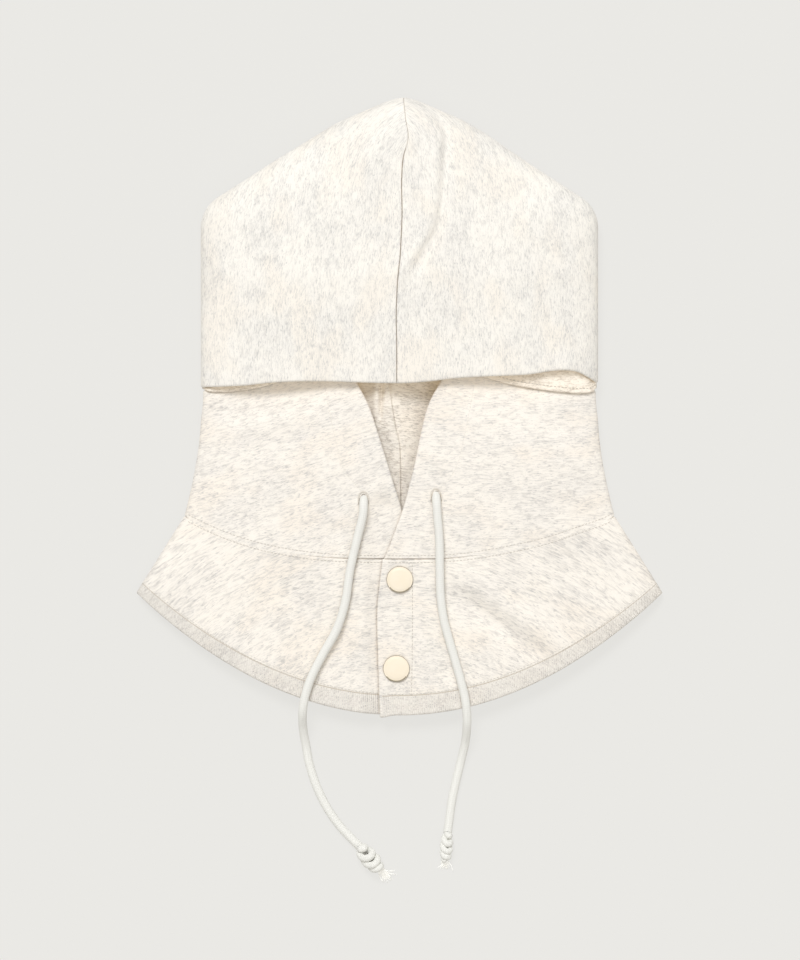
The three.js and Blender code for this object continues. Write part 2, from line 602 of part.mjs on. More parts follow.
add('bib_back', bibBack(0, CLOTH, 0, 1), bibCloth);
add('bib_back_hem', bibBack(LINING_DEPTH, LINING, 1 - HEM_SHARE, 1), hemCloth);
fronts.push(add('bib_left_front', underlapPierced(bibFront(-1, 0, CLOTH, {})), bibCloth));
add('bib_left_hem', bibFront(-1, LINING_DEPTH, LINING, hemRange), hemCloth);
add('underlap_facing', underlapPierced(bibFront(-1, LINING_DEPTH, LINING, facingRange)), bibCloth);
fronts.push(add('bib_right_front', stays(bibFront(1, 0, CLOTH, {})), bibCloth));
add('bib_right_hem', stays(bibFront(1, LINING_DEPTH, LINING, hemRange)), hemCloth);
add('bib_overlap', peels(overlapPierced(bibFront(1, 0, CLOTH, {}))), bibCloth);
add('bib_overlap_hem', peels(bibFront(1, LINING_DEPTH, LINING, hemRange)), hemCloth);
add('overlap_facing', overlapPierced(bibFront(1, LINING_DEPTH, LINING, facingRange)), bibCloth);

for (const snap of SNAPS) {
  const pieces = [
    add(`${snap.name}_snap_cap`, snapCap(), capResin),
    add(`${snap.name}_snap_socket`, snapSocket(), snapMetal),
    add(`${snap.name}_snap_stud`, snapStud(), snapMetal),
    add(`${snap.name}_snap_post`, snapPost(), snapMetal),
  ];
  for (const piece of pieces) {
    piece.position.set(snap.x, snap.y, frontHeight(snap.y));
    piece.rotation.x = Math.atan(FRONT_SLOPE);
  }
}

const HIDDEN_LIFT = -(LINING_DEPTH + CORD_DIAMETER / 2);
add('left_buttonhole_patch', buttonholePatch(-24.9, -64.2), liningCloth);
add('right_buttonhole_patch', buttonholePatch(25.6, -63.2), liningCloth);
add('left_tunnel_cord', tube(onCloth(LEFT_HIDDEN, HIDDEN_LIFT), CORD_DIAMETER, CORD_SIDES), cordYarn);
add('right_tunnel_cord', tube(onCloth(RIGHT_HIDDEN, HIDDEN_LIFT), CORD_DIAMETER, CORD_SIDES), cordYarn);
add('left_cord', tube(onCloth(LEFT_ROUTE, CORD_LIFT), CORD_DIAMETER, CORD_SIDES), cordYarn);
add('right_cord', tube(onCloth(RIGHT_ROUTE, CORD_LIFT), CORD_DIAMETER, CORD_SIDES), cordYarn);
add('left_knot', knot([-27, -309.7], [-9, -330.6], 7.5, 3.2), cordYarn);
add('right_knot', knot([33.6, -299.5], [31.6, -323.3], 5.8, 3.2), cordYarn);

export default balaclava;
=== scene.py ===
"""The looks of a hooded jersey balaclava, laid flat on its back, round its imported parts.

Shapes are worked out in millimetres in the parts' own frame: +Y towards the peak of the hood,
+X to the right as seen from above, +Z up from the floor. Meshes are in metres.
"""

import math

import bmesh
import bpy
import numpy as np
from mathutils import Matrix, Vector


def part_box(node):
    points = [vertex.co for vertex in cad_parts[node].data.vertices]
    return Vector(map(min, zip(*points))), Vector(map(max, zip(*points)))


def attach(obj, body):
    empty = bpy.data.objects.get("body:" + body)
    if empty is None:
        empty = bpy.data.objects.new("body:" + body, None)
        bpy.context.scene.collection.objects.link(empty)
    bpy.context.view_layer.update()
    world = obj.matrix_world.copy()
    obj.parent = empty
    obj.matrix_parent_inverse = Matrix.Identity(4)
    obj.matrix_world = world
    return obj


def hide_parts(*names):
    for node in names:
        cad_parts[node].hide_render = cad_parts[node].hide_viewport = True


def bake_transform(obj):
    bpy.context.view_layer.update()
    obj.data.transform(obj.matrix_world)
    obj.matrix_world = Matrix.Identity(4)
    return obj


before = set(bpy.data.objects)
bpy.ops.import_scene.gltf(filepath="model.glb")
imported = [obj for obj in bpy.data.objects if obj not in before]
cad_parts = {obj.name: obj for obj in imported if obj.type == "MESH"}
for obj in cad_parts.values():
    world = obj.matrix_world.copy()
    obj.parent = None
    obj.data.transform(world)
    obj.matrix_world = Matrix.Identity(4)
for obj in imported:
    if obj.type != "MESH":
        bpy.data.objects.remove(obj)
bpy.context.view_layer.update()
MM = 0.001


def corners(node):
    """Lowest and highest corner of a CAD node, in millimetres."""
    return [np.array(corner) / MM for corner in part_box(node)]


# ---- Sizes, from the frame where it has them, in millimetres ----------------------------------

BRIM_LOW, BRIM_HIGH = corners("brim_right")
CROWN_LOW, CROWN_HIGH = corners("hood_crown_right")
NECK_HIGH = corners("neck_front_left")[1]
BIB_LOW, BIB_HIGH = corners("bib_back")

HOOD_HALF, RIM_Y, FOLD_Y = BRIM_HIGH[0], BRIM_LOW[1], CROWN_LOW[1]
PEAK_Y, HOOD_TOP = CROWN_HIGH[1], CROWN_HIGH[2]
NECK_TOP_Y, NECK_TOP = NECK_HIGH[1], NECK_HIGH[2]
BIB_HALF, HEM_Y, BIB_SIDE_Y = BIB_HIGH[0], BIB_LOW[1], -131.5
NECK_HALF, NECK_Y, NECK_END_Y = 150.0, -107.5, -77.5
PEAK_TOP, RIM_TOP, HEM_TOP = 38.0, 35.0, 16.5
SIDE_FOLD, BIB_FOLD = 11.0, 6.0
FLARE_TOP_Y, SLOPE_TOP_Y = RIM_Y - 25, RIM_Y - 56
FRONT_SLOPE = (NECK_TOP - HEM_TOP) / (SLOPE_TOP_Y - HEM_Y)
ROOF_SLOPE, PEAK_RADIUS, SHOULDER_RADIUS = math.radians(32.9), 52.0, 25.0
WALL = 3.1  # jersey and lining together
OVERLAP = 14.5
HEM_BAND = 14.0
CORD_RADIUS = 3.0
V_FOOT_Y = -73.9
BIB_TALL = 109.0  # from the neck seam to the hem, at the middle
GRAIN_CENTRE_Y, GRAIN_RADIUS = -330.0, 190.0  # the bib's grain runs round this point, at this radius
PLACKET_HEM_END = -9.2  # the placket's edge is folded over the hem band as far as here

# Curves as (x, y) points, from the garment's foot upwards.
LEFT_EDGE = [(13, -109), (2, -73.9), (-6, -48.6), (-13.5, -24.2), (-21, -1.8), (-29.5, 15.2), (-38, 34.5)]
RIGHT_EDGE = [(-12.2, -109), (-9.3, -104), (2, -73.9), (6.2, -58), (10.9, -39.2), (15.5, -16.8), (20.2, 0.2),
              (28.7, 16.2), (38, 34.5)]
HOOD_SEAM = [(-1.9, 10), (-1.9, 40), (-2.2, 62.5), (-1.3, 85), (0.6, 105.6), (1.8, 130.2), (1.5, 152.6),
             (2.5, 169.4), (6.0, 184.4), (4.3, 197.5), (2.5, 216.5)]
HOOD_CREASE = [(9, 82), (12.7, 96), (18.3, 107.5), (25.8, 122.5), (29.6, 143), (30.5, 166), (28.7, 186),
               (23, 206)]
LINING_SEAM = [(2, -90), (1.5, -66), (0.9, -31), (-2.5, -13), (-6, 13.3), (-8, 60)]
RIM_LINE = [(-139, 11.9), (-109, 12.8), (-85, 15.1), (-53, 15.6), (-2, 14.3), (22, 15.6), (41, 17.9),
            (60, 19.0), (88, 20.3), (106.5, 23.1), (117.7, 23.5), (125, 22.2), (132, 18.6), (139.5, 14.6)]
PLACKET_EDGE = [(-13.7, -217), (-14.4, -196), (-15.4, -163), (-15.4, -140), (-11.8, -107)]


def clamp(t):
    """Values cut to lie between 0 and 1."""
    return np.clip(t, 0.0, 1.0)


def smooth(t, low, high):
    """0 below low and 1 above high, with a cubic ease between them."""
    s = clamp((t - low) / (high - low))
    return s * s * (3 - 2 * s)


def mix(a, b, t):
    """A straight blend: a where t is 0 and b where t is 1."""
    return a + (b - a) * t


def bump(t, width):
    """A bell: 1 where t is 0, falling as exp(-(t / width) squared)."""
    return np.exp(-((t / width) ** 2))


def curve_through(points, step=1.0):
    """A centripetal-like Catmull-Rom curve through the points, sampled about every step."""
    p = np.array(points, float)
    p = np.vstack([2 * p[0] - p[1], p, 2 * p[-1] - p[-2]])
    out = []
    for a, b, c, d in zip(p[:-3], p[1:-2], p[2:-1], p[3:]):
        t = np.linspace(0, 1, max(2, int(np.linalg.norm(c - b) / step)), endpoint=False)[:, None]
        out.append(0.5 * (2 * b + (c - a) * t + (2 * a - 5 * b + 4 * c - d) * t**2
                          + (3 * b - a - 3 * c + d) * t**3))
    return np.vstack(out + [p[-2][None]])


def run_along(path):
    """How far each point of a path lies from its start, along it."""
    return np.concatenate([[0], np.cumsum(np.linalg.norm(np.diff(path, axis=0), axis=1))])


def x_at(points, y):
    """x of a curve that runs upwards, at heights y."""
    c = curve_through(points)
    return np.interp(y, c[:, 1], c[:, 0])


def y_at(points, x):
    """y of a curve that runs to the right, at places x."""
    c = curve_through(points)
    return np.interp(x, c[:, 0], c[:, 1])


# ---- The garment's shape ----------------------------------------------------------------------

def half_width(y):
    """Half the width of hood, neck and bib: straight, then flaring as a power, then in a line."""
    flare = clamp((FLARE_TOP_Y - y) / (FLARE_TOP_Y - NECK_END_Y))
    bib = clamp((NECK_END_Y - y) / (NECK_END_Y - BIB_SIDE_Y))
    return HOOD_HALF + (NECK_HALF - HOOD_HALF) * flare**1.6 + (BIB_HALF - NECK_HALF) * bib


def neck_width(y):
    """Half the width of the neck, which is drawn in where it goes under the brim."""
    return half_width(y) - 1.6 * smooth(y, RIM_Y - 30, RIM_Y - 10) - 2.8 * clamp((y - RIM_Y + 6.5) / 4)


def fold_height(y):
    """Height of the side fold, which falls in a line from the hood to the bib."""
    return mix(SIDE_FOLD, BIB_FOLD, clamp((NECK_END_Y + 16 - y) / 70))


def top_height(y):
    """Height of the cloth at the middle: level, then falling in a line towards the hem."""
    return NECK_TOP - FRONT_SLOPE * np.maximum(0, SLOPE_TOP_Y - y)


def neck_seam_y(x):
    """The neck seam hangs as a power curve, a little lower on the left."""
    hang = NECK_Y + (NECK_END_Y - NECK_Y) * np.abs(x / NECK_HALF) ** 2.8
    return hang + 2.6 * smooth(x, 20, 90) * (1 - smooth(x, 120, 150))


def hem_y(x):
    """The hem climbs from its foot at the middle to the sides as the square of x."""
    return HEM_Y + (BIB_SIDE_Y - HEM_Y) * (x / BIB_HALF) ** 2


def rim_y(x):
    """The brim's lower edge, a smooth curve through its points."""
    return y_at(RIM_LINE, x)


def softness(x, y, size, seed):
    """Slow swells in the cloth: five crossing sines of about that wavelength."""
    draw = np.random.default_rng(seed)
    total = np.zeros(np.broadcast(x, y).shape)
    for _ in range(5):
        turn, phase = draw.uniform(0, 2 * np.pi, 2)
        length = size * draw.uniform(0.7, 1.5)
        total += np.sin((x * np.cos(turn) + y * np.sin(turn)) * 2 * np.pi / length + phase)
    return total / 5


def along_line(x, y, start, end, width):
    """1 on the stretch from start to end, falling off as a bell to both sides and past its ends."""
    a, b = np.array(start, float), np.array(end, float)
    d = b - a
    long = np.linalg.norm(d)
    t = ((x - a[0]) * d[0] + (y - a[1]) * d[1]) / long**2
    off = ((x - a[0]) * d[1] - (y - a[1]) * d[0]) / long
    return bump(off, width) * smooth(t, -0.25, 0.2) * (1 - smooth(t, 0.8, 1.25))


def front_relief(x, y):
    """Folds of the neck and bib: (start, end, width, height), summed."""
    folds = [
        ((40, -133), (100, -176), 7, -3.4), ((48, -121), (108, -166), 9, 2.0),
        ((18, -150), (48, -196), 8, -0.9), ((92, -100), (150, -135), 10, -0.8),
        ((-140, -8), (-60, 8), 7, -1.6), ((-128, -20), (-60, -8), 8, 1.2),
        ((-46, -150), (-30, -200), 9, -1.4), ((-70, -120), (-120, -150), 12, -0.8),
        ((60, -6), (128, -16), 8, -1.0), ((70, -30), (132, -40), 12, 0.9),
        ((-25, -64), (-52, -84), 5, 0.5), ((26, -62), (40, -84), 4, -0.5),
    ]
    total = 0.35 * softness(x, y, 46, 3) + 0.12 * softness(x, y, 17, 5)
    for start, end, width, height in folds:
        total = total + height * along_line(x, y, start, end, width)
    dips = -6.8 * smooth(y, -12, 14) * (bump(x + 92, 38) + 0.7 * bump(x - 68, 32))
    side = smooth(1 - np.abs(x) / half_width(y), 0.0, 0.12)
    return (total + dips) * side


SNAP_PLACES = [corners(f"{name}_snap_cap") for name in ("upper", "lower")]
SNAP_PLACES = [(low + high) / 2 for low, high in SNAP_PLACES]


def underlap_drop(x, y):
    """How far the left front lies lower under the right one, dimpled round the snaps."""
    across = smooth(x, -27, -14.5) * smooth(-y, -V_FOOT_Y - 16, -V_FOOT_Y - 1)
    dimple = sum(bump(np.hypot(x - p[0], y - p[1]), 10) for p in SNAP_PLACES)
    return across * (3.6 + 2.6 * dimple)


def front_z(x, y, side):
    """Top of the neck and bib fronts: a quarter ellipse from the centre to the side fold."""
    fold, width = fold_height(y), neck_width(y)
    across = clamp(np.abs(x) / width)
    z = fold + (top_height(y) - fold) * np.sqrt(1 - across**2) + front_relief(x, y)
    return z - (underlap_drop(x, y) if side < 0 else 0)


def hood_relief(x, y):
    """The crease beside the hood's seam, the lifted corner of the brim and slow swells."""
    crease = x_at(HOOD_CREASE, y)
    ends = smooth(y, 78, 100) * (1 - smooth(y, 190, 212))
    ridges = 1.9 * bump(x - crease + 8, 6.5) + 0.5 * bump(x - crease - 10, 8)
    total = ends * (-2.6 * bump(x - crease, 3.4) + ridges)
    total += 0.45 * softness(x, y, 60, 11) + 0.14 * softness(x, y, 19, 12)
    total += 3.4 * bump(np.hypot((x - 116) / 15, (y - 18) / 18), 1)
    total -= 0.7 * bump(x + 96, 14) * (1 - smooth(y, 14, 50))
    return total * smooth(1 - np.abs(x) / HOOD_HALF, -0.02, 0.1)


# ---- Mesh tools -------------------------------------------------------------------------------

def unit(v):
    """Vectors divided by their lengths."""
    return v / np.maximum(np.linalg.norm(v, axis=-1, keepdims=True), 1e-9)


def grid_normals(grid, flip):
    """Normals of a grid of points, from its two directions crossed."""
    n = unit(np.cross(np.gradient(grid, axis=1), np.gradient(grid, axis=0)))
    return -n if flip else n


def quads(rows, columns, flip=False, first=0, around=False):
    """Faces of a grid of points; around joins its last column to its first."""
    count = columns if around else columns - 1
    j, i = np.meshgrid(np.arange(rows - 1), np.arange(count), indexing="ij")
    k = (i + 1) % columns
    faces = np.stack([j * columns + i, j * columns + k, (j + 1) * columns + k, (j + 1) * columns + i], -1)
    faces = faces.reshape(-1, 4) + first
    return faces[:, ::-1] if flip else faces


def make_mesh(name, points, faces, uv=None, shades=None, finishes=()):
    """A smooth mesh object from points in millimetres and faces. uv has a row for each point, with the
    grain in its first two columns and the place from the edge in its next two. shades has the number of
    a finish for each face."""
    mesh = bpy.data.meshes.new(name)
    mesh.from_pydata((np.asarray(points) * MM).tolist(), [], [list(map(int, face)) for face in faces])
    for finish in finishes:
        mesh.materials.append(finish)
    if shades is not None:
        mesh.polygons.foreach_set("material_index", np.asarray(shades, np.int32))
    mesh.polygons.foreach_set("use_smooth", np.ones(len(mesh.polygons), bool))
    if uv is not None:
        loops = np.zeros(len(mesh.loops), np.int32)
        mesh.loops.foreach_get("vertex_index", loops)
        pattern = np.asarray(uv, np.float32)[loops]
        for k, label in enumerate(("grain", "edge")[: pattern.shape[1] // 2]):
            mesh.uv_layers.new(name=label)
            pair = np.ascontiguousarray(pattern[:, 2 * k:2 * k + 2])
            mesh.uv_layers[label].data.foreach_set("uv", pair.ravel())
    mesh.validate()
    mesh.update()
    obj = bpy.data.objects.new(name, mesh)
    bpy.context.scene.collection.objects.link(obj)
    return obj


def stops(length, step, start=True, end=True, edge=1.6):
    """Shares of a length from 0 to 1, a step apart, and closer near the ends that are rounded."""
    fine = np.array([0, 0.06, 0.2, 0.42, 0.7, 1.0]) * edge
    low, high = (fine if start else np.array([0.0])), (length - fine[::-1] if end else np.array([length]))
    middle = np.linspace(low[-1], high[0], max(3, int((high[0] - low[-1]) / step) + 1))[1:-1]
    return np.concatenate([low, middle, high]) / length


def edge_share(grid, axis, radii):
    """How full the cloth is near the two ends of a grid direction: a quarter circle of each radius."""
    step = np.linalg.norm(np.diff(grid, axis=axis), axis=-1)
    zero = np.zeros_like(np.take(step, [0], axis=axis))
    run = np.concatenate([zero, np.cumsum(step, axis=axis)], axis=axis)
    back = np.take(run, [-1], axis=axis) - run
    first, last = (np.sqrt(np.maximum(0, 1 - (1 - clamp(d / r)) ** 2)) for d, r in zip((run, back), radii))
    return first * last


def cloth(name, top, uv, finish, back_finish, flip=False, wall=WALL, radii=((1.6, 1.6), (0.8, 1.6)),
          swell=0.0, band=None, band_finish=None):
    """A closed sheet of cloth. top is the grid of its face. The back lies a wall further in, along the
    normals, plus the swell, and both close on the sheet's middle in a rounded edge on all four sides.
    band is a mask over its quads, and those take another finish."""
    n = grid_normals(top, flip)
    full = (edge_share(top, 0, radii[0]) * edge_share(top, 1, radii[1]))[..., None]
    middle = top - n * wall / 2
    face, back = middle + n * full * wall / 2, middle - n * full * (wall / 2 + np.asarray(swell)[..., None])
    rows, columns = top.shape[:2]
    count = rows * columns
    ids = np.arange(count).reshape(rows, columns)
    under = ids + count
    for edge in (np.s_[0, :], np.s_[-1, :], np.s_[:, 0], np.s_[:, -1]):
        under[edge] = ids[edge]
    faces = quads(rows, columns, flip)
    below = under.ravel()[quads(rows, columns, not flip)]
    face_shades = np.zeros(len(faces), int) if band is None else 2 * band.ravel().astype(int)
    obj = make_mesh(name, np.concatenate([face.reshape(-1, 3), back.reshape(-1, 3)]),
                    np.concatenate([faces, below]),
                    np.tile(uv.reshape(-1, uv.shape[-1]), (2, 1)),
                    np.concatenate([face_shades, np.ones(len(below), int)]),
                    (finish, back_finish) + ((band_finish,) if band_finish else ()))
    drop_loose(obj)
    return obj


def drop_loose(obj):
    """Removes the points that no face uses."""
    mesh = obj.data
    used = np.zeros(len(mesh.vertices), bool)
    corners_used = np.zeros(len(mesh.loops), np.int32)
    mesh.loops.foreach_get("vertex_index", corners_used)
    used[corners_used] = True
    if used.all():
        return
    b = bmesh.new()
    b.from_mesh(mesh)
    bmesh.ops.delete(b, geom=[v for v in b.verts if not v.link_faces], context="VERTS")
    b.to_mesh(mesh)
    b.free()


def turned(u, v, degrees):
    """Pattern coordinates, in hundreds of millimetres, with the grain turned by an angle."""
    a = np.radians(degrees)
    return np.stack([u * np.cos(a) + v * np.sin(a), -u * np.sin(a) + v * np.cos(a)], -1) / 100


def frames_along(path):
    """Unit tangents and two unit normals along a path; the first normal leans towards +Z."""
    t = unit(np.gradient(path, axis=0))
    across = unit(np.cross(t, np.array([0.0, 0, 1.0]) + 0.001 * np.roll(t, 1, axis=-1)))
    return t, np.cross(across, t), across


def rings_round(path, radius, angles):
    """Circles about the points of a path, at right angles to it."""
    _, up, across = frames_along(path)
    cos, sin = np.cos(angles)[None, :, None], np.sin(angles)[None, :, None]
    return path[:, None] + radius[:, None, None] * (cos * up[:, None] + sin * across[:, None])


def ring_faces(rows, sides, first=0):
    """Faces of a run of rings: the quads round it and the two faces that close its ends."""
    last = first + (rows - 1) * sides
    ends = [[first + k for k in range(sides)][::-1], [last + k for k in range(sides)]]
    return quads(rows, sides, first=first, around=True).tolist() + ends


def tube(name, path, radius, finish, sides=18, taper=None):
    """A round cord: a circle carried along a path and closed at both ends, with its length along V.
    Its ends are quarter circles, unless taper gives the share of the radius at each point."""
    path = np.asarray(path, float)
    run = run_along(path)
    if taper is None:
        end = np.minimum(run, run[-1] - run)
        taper = np.sqrt(np.maximum(0.0, 1 - (1 - clamp(end / (0.7 * radius))) ** 2))
    a = np.linspace(0, 2 * np.pi, sides + 1)[:-1]
    ring = rings_round(path, np.maximum(radius * taper, 0.02), a)
    uv = np.stack(np.broadcast_arrays(a[None] / (2 * np.pi), run[:, None] / 100), -1)
    faces = ring_faces(len(path), sides)
    return make_mesh(name, ring.reshape(-1, 3), faces, uv.reshape(-1, 2), finishes=(finish,))


def outward(obj):
    """Turns a closed mesh's faces outwards."""
    b = bmesh.new()
    b.from_mesh(obj.data)
    bmesh.ops.recalc_face_normals(b, faces=b.faces)
    b.to_mesh(obj.data)
    b.free()
    return obj


def lathe(name, profile, centre, tilt, finish, sides=56):
    """A profile of (radius, height) turned about an axis through centre that leans by tilt about X."""
    p = np.array(profile, float)
    a = np.linspace(0, 2 * np.pi, sides, endpoint=False)
    x, y = p[:, :1] * np.cos(a), p[:, :1] * np.sin(a)
    z = np.broadcast_to(p[:, 1:], x.shape)
    c, s = math.cos(tilt), math.sin(tilt)
    points = np.stack([x, y * c - z * s, y * s + z * c], -1) + np.asarray(centre)
    obj = make_mesh(name, points.reshape(-1, 3), quads(len(p), sides, around=True), finishes=(finish,))
    b = bmesh.new()
    b.from_mesh(obj.data)
    bmesh.ops.remove_doubles(b, verts=b.verts, dist=2e-6)
    bmesh.ops.recalc_face_normals(b, faces=b.faces)
    b.to_mesh(obj.data)
    b.free()
    return obj


# ---- Materials --------------------------------------------------------------------------------

class Nodes:
    """A short way to write a material's nodes."""

    def __init__(self, name):
        self.material = bpy.data.materials.new(name)
        self.material.use_nodes = True
        self.tree = self.material.node_tree
        self.shader = self.tree.nodes["Principled BSDF"]

    def add(self, kind, settings=(), **inputs):
        """A new node, with its settings, and each input linked to a socket or set to a value."""
        node = self.tree.nodes.new(kind)
        for key, value in dict(settings).items():
            setattr(node, key, value)
        for key, value in inputs.items():
            by_number = key[0] == "_" and key[1:].isdigit()
            socket = node.inputs[int(key[1:]) if by_number else key.replace("_", " ")]
            if isinstance(value, bpy.types.NodeSocket):
                self.tree.links.new(value, socket)
            else:
                socket.default_value = value
        return node

    def noise(self, where, stretch, detail=2.0, roughness=0.55, turn=0.0, warp=0.0):
        """Noise on stretched coordinates: stretch is how many patches fit in 100 mm each way."""
        mapping = self.add("ShaderNodeMapping", Vector=where, Scale=(*stretch, 1.0), Rotation=(0, 0, turn))
        return self.add("ShaderNodeTexNoise", Vector=mapping.outputs[0], Scale=1.0, Detail=detail,
                        Roughness=roughness, Distortion=warp).outputs[0]

    def ramp(self, value, low, high, top=1.0):
        """0 below low and top above high."""
        return self.add("ShaderNodeMapRange", {"interpolation_type": "SMOOTHSTEP"}, Value=value, From_Min=low,
                        From_Max=high, To_Min=0.0, To_Max=top).outputs[0]

    def blend(self, factor, a, b, mode="MIX"):
        """Two colours blended by a factor."""
        node = self.add("ShaderNodeMix", {"data_type": "RGBA", "blend_type": mode})
        for socket, value in ((node.inputs[0], factor), (node.inputs[6], a), (node.inputs[7], b)):
            if isinstance(value, bpy.types.NodeSocket):
                self.tree.links.new(value, socket)
            else:
                socket.default_value = (*value, 1.0) if isinstance(value, tuple) else value
        return node.outputs[2]

    def math(self, operation, a, b):
        """One sum of two values."""
        return self.add("ShaderNodeMath", {"operation": operation}, _0=a, _1=b).outputs[0]

    def sine(self, value):
        """The sine of an angle in radians."""
        return self.add("ShaderNodeMath", {"operation": "SINE"}, _0=value).outputs[0]

    def bump(self, height, distance, strength=1.0, under=None):
        """A normal that leans with a height, on top of the normal under it."""
        more = {} if under is None else {"Normal": under}
        node = self.add("ShaderNodeBump", Height=height, Distance=distance, Strength=strength, **more)
        return node.outputs[0]

    def finish(self, colour, normal, roughness, sheen=0.0):
        """Links the colour and normal to the shader and sets the shader's plain values."""
        self.tree.links.new(colour, self.shader.inputs["Base Color"])
        if normal is not None:
            self.tree.links.new(normal, self.shader.inputs["Normal"])
        self.shader.inputs["Roughness"].default_value = roughness
        self.shader.inputs["Sheen Weight"].default_value = sheen
        self.shader.inputs["Sheen Roughness"].default_value = 0.6
        self.shader.inputs["Specular IOR Level"].default_value = 0.25
        return self.material


def tinted(colour, *shares):
    """A colour with each of its channels taken to a share."""
    return tuple(value * share for value, share in zip(colour, shares))


def jersey(name, base, fleck, rib=0.0, strength=1.0, grain=1.0, warm_light=0.0, depth=0.8):
    """Brushed oatmeal jersey: melange flecks drawn out along the grain, slow cream and grey clouds,
    a fine knit, and painted brown shade in hollows, creases and where parts touch. rib adds the close
    upright ribs of a coverstitched hem with a painted shade line along the ditch of its upper stitching.
    warm_light is a painted warm glow on the cloth below the brim, standing in for light that comes through
    the brim, and depth is how strong the painted shade of the hollows is."""
    m = Nodes(name)
    where = m.add("ShaderNodeUVMap", {"uv_map": "grain"}).outputs[0]
    clouds = m.noise(where, (4.2, 2.6), 3.0)
    warm = m.noise(where, (3.1, 1.9), 2.0, turn=0.7)
    patches = m.noise(where, (24.0, 9.0), 3.0, 0.6)
    streaks = m.noise(where, (96.0 * grain, 20.0 * grain), 3.0, 0.66, warp=0.4)
    flecks = m.noise(where, (150.0 * grain, 36.0 * grain), 2.5, 0.65, turn=0.05, warp=0.3)
    fine = m.noise(where, (240.0, 120.0), 1.0)
    colour = m.blend(m.ramp(clouds, 0.42, 0.62), base, tinted(base, 0.960375, 0.96525, 0.975))
    colour = m.blend(m.ramp(warm, 0.47, 0.66, 0.7), colour, tinted(base, 0.992, 0.962, 0.93))
    dense = m.math("ADD", m.math("MULTIPLY", patches, 0.34), m.math("MULTIPLY", clouds, 0.16))
    streak = m.math("SUBTRACT", m.math("ADD", streaks, dense), 0.25)
    colour = m.blend(m.ramp(streak, 0.42, 0.70, 0.62 * strength), colour, fleck)
    spot = m.math("SUBTRACT", m.math("ADD", flecks, dense), 0.25)
    colour = m.blend(m.ramp(spot, 0.53, 0.70, 0.7 * strength), colour, tinted(fleck, 0.84, 0.85, 0.88))
    colour = m.blend(m.ramp(fine, 0.40, 0.68, 0.2), colour, tinted(base, 0.8, 0.79, 0.77))
    normal = m.bump(streaks, 0.0004, 0.5)
    normal = m.bump(fine, 0.00025, 0.5, normal)
    if rib:
        edge = m.add("ShaderNodeUVMap", {"uv_map": "edge"}).outputs[0]
        along = m.add("ShaderNodeSeparateXYZ", Vector=edge).outputs[0]
        ribs = m.sine(m.math("MULTIPLY", along, 2 * math.pi * rib))
        colour = m.blend(m.ramp(ribs, -0.9, 0.2, 1.0), tinted(base, 0.89, 0.885, 0.875), colour)
        normal = m.bump(ribs, 0.0003, 0.6, normal)
        # Painted shade: a darker brown line along the band's top, where the upper stitching sinks into a
        # ditch.
        height = m.add("ShaderNodeSeparateXYZ", Vector=edge).outputs[1]
        off = m.math("ABSOLUTE", m.math("SUBTRACT", height, 1 - HEM_BAND / BIB_TALL), 0.0)
        colour = m.blend(m.ramp(off, 0.0016, 0.0050), tinted(base, 0.66, 0.62, 0.56), colour)
    # Painted shade: an ambient-occlusion node darkens and browns the colour in hollows, creases, under the
    # brim and where parts touch.
    near = m.add("ShaderNodeAmbientOcclusion", {"samples": 6}, Distance=0.0030).outputs["AO"]
    hollow_shade = m.math("MULTIPLY", m.math("SUBTRACT", 1.0, m.ramp(near, 0.22, 0.75)), depth)
    colour = m.blend(hollow_shade, colour, (0.50, 0.42, 0.33), "MULTIPLY")
    # Painted light: a warm emission, rising towards the brim along the object's Y, stands in for light coming
    # through the brim.
    if warm_light:
        place = m.add("ShaderNodeTexCoord").outputs["Object"]
        up = m.add("ShaderNodeSeparateXYZ", Vector=place).outputs[1]
        m.tree.links.new(m.ramp(up, -0.003, 0.013, warm_light), m.shader.inputs["Emission Strength"])
        m.shader.inputs["Emission Color"].default_value = (1.0, 0.76, 0.44, 1.0)
    return m.finish(colour, normal, 0.92, 0.12)


def braid(name, base, shade):
    """Round braided cord: two crossing sets of slanting strands, and fine fibres along it."""
    m = Nodes(name)
    where = m.add("ShaderNodeUVMap", {"uv_map": "grain"}).outputs[0]
    strands = []
    parts = m.add("ShaderNodeSeparateXYZ", Vector=where).outputs
    for turn in (1, -1):
        around = m.math("MULTIPLY", parts[0], 8.0 * 2 * math.pi)
        along = m.math("MULTIPLY", parts[1], turn * 2 * math.pi * 34.0)
        strands.append(m.sine(m.math("ADD", around, along)))
    weave = m.math("MULTIPLY", strands[0], strands[1])
    fibres = m.noise(where, (30.0, 46.0), 2.0)
    colour = m.blend(m.ramp(weave, -1.0, 0.2, 1.0), shade, base)
    colour = m.blend(m.ramp(fibres, 0.45, 0.75, 0.3), colour, shade)
    normal = m.bump(weave, 0.00012, 0.35)
    return m.finish(colour, m.bump(fibres, 0.0001, 0.3, normal), 0.85, 0.15)


def plain_yarn(name, base, light=0.0):
    """Sewing thread: a pale yarn with a fine slanting twist. light is a painted glow, an emission that
    lightens it.
    """
    m = Nodes(name)
    # Painted light: the emission makes the yarn glow, against the shade its thin fibres cast on each other.
    m.shader.inputs["Emission Color"].default_value = (1.0, 0.98, 0.93, 1.0)
    m.shader.inputs["Emission Strength"].default_value = light
    where = m.add("ShaderNodeTexCoord").outputs["Object"]
    twist = m.noise(where, (900.0, 900.0), 1.0)
    colour = m.blend(m.ramp(twist, 0.35, 0.7, 0.5), base, tinted(base, 0.86, 0.86, 0.86))
    return m.finish(colour, m.bump(twist, 0.0001, 0.4), 0.8, 0.05)


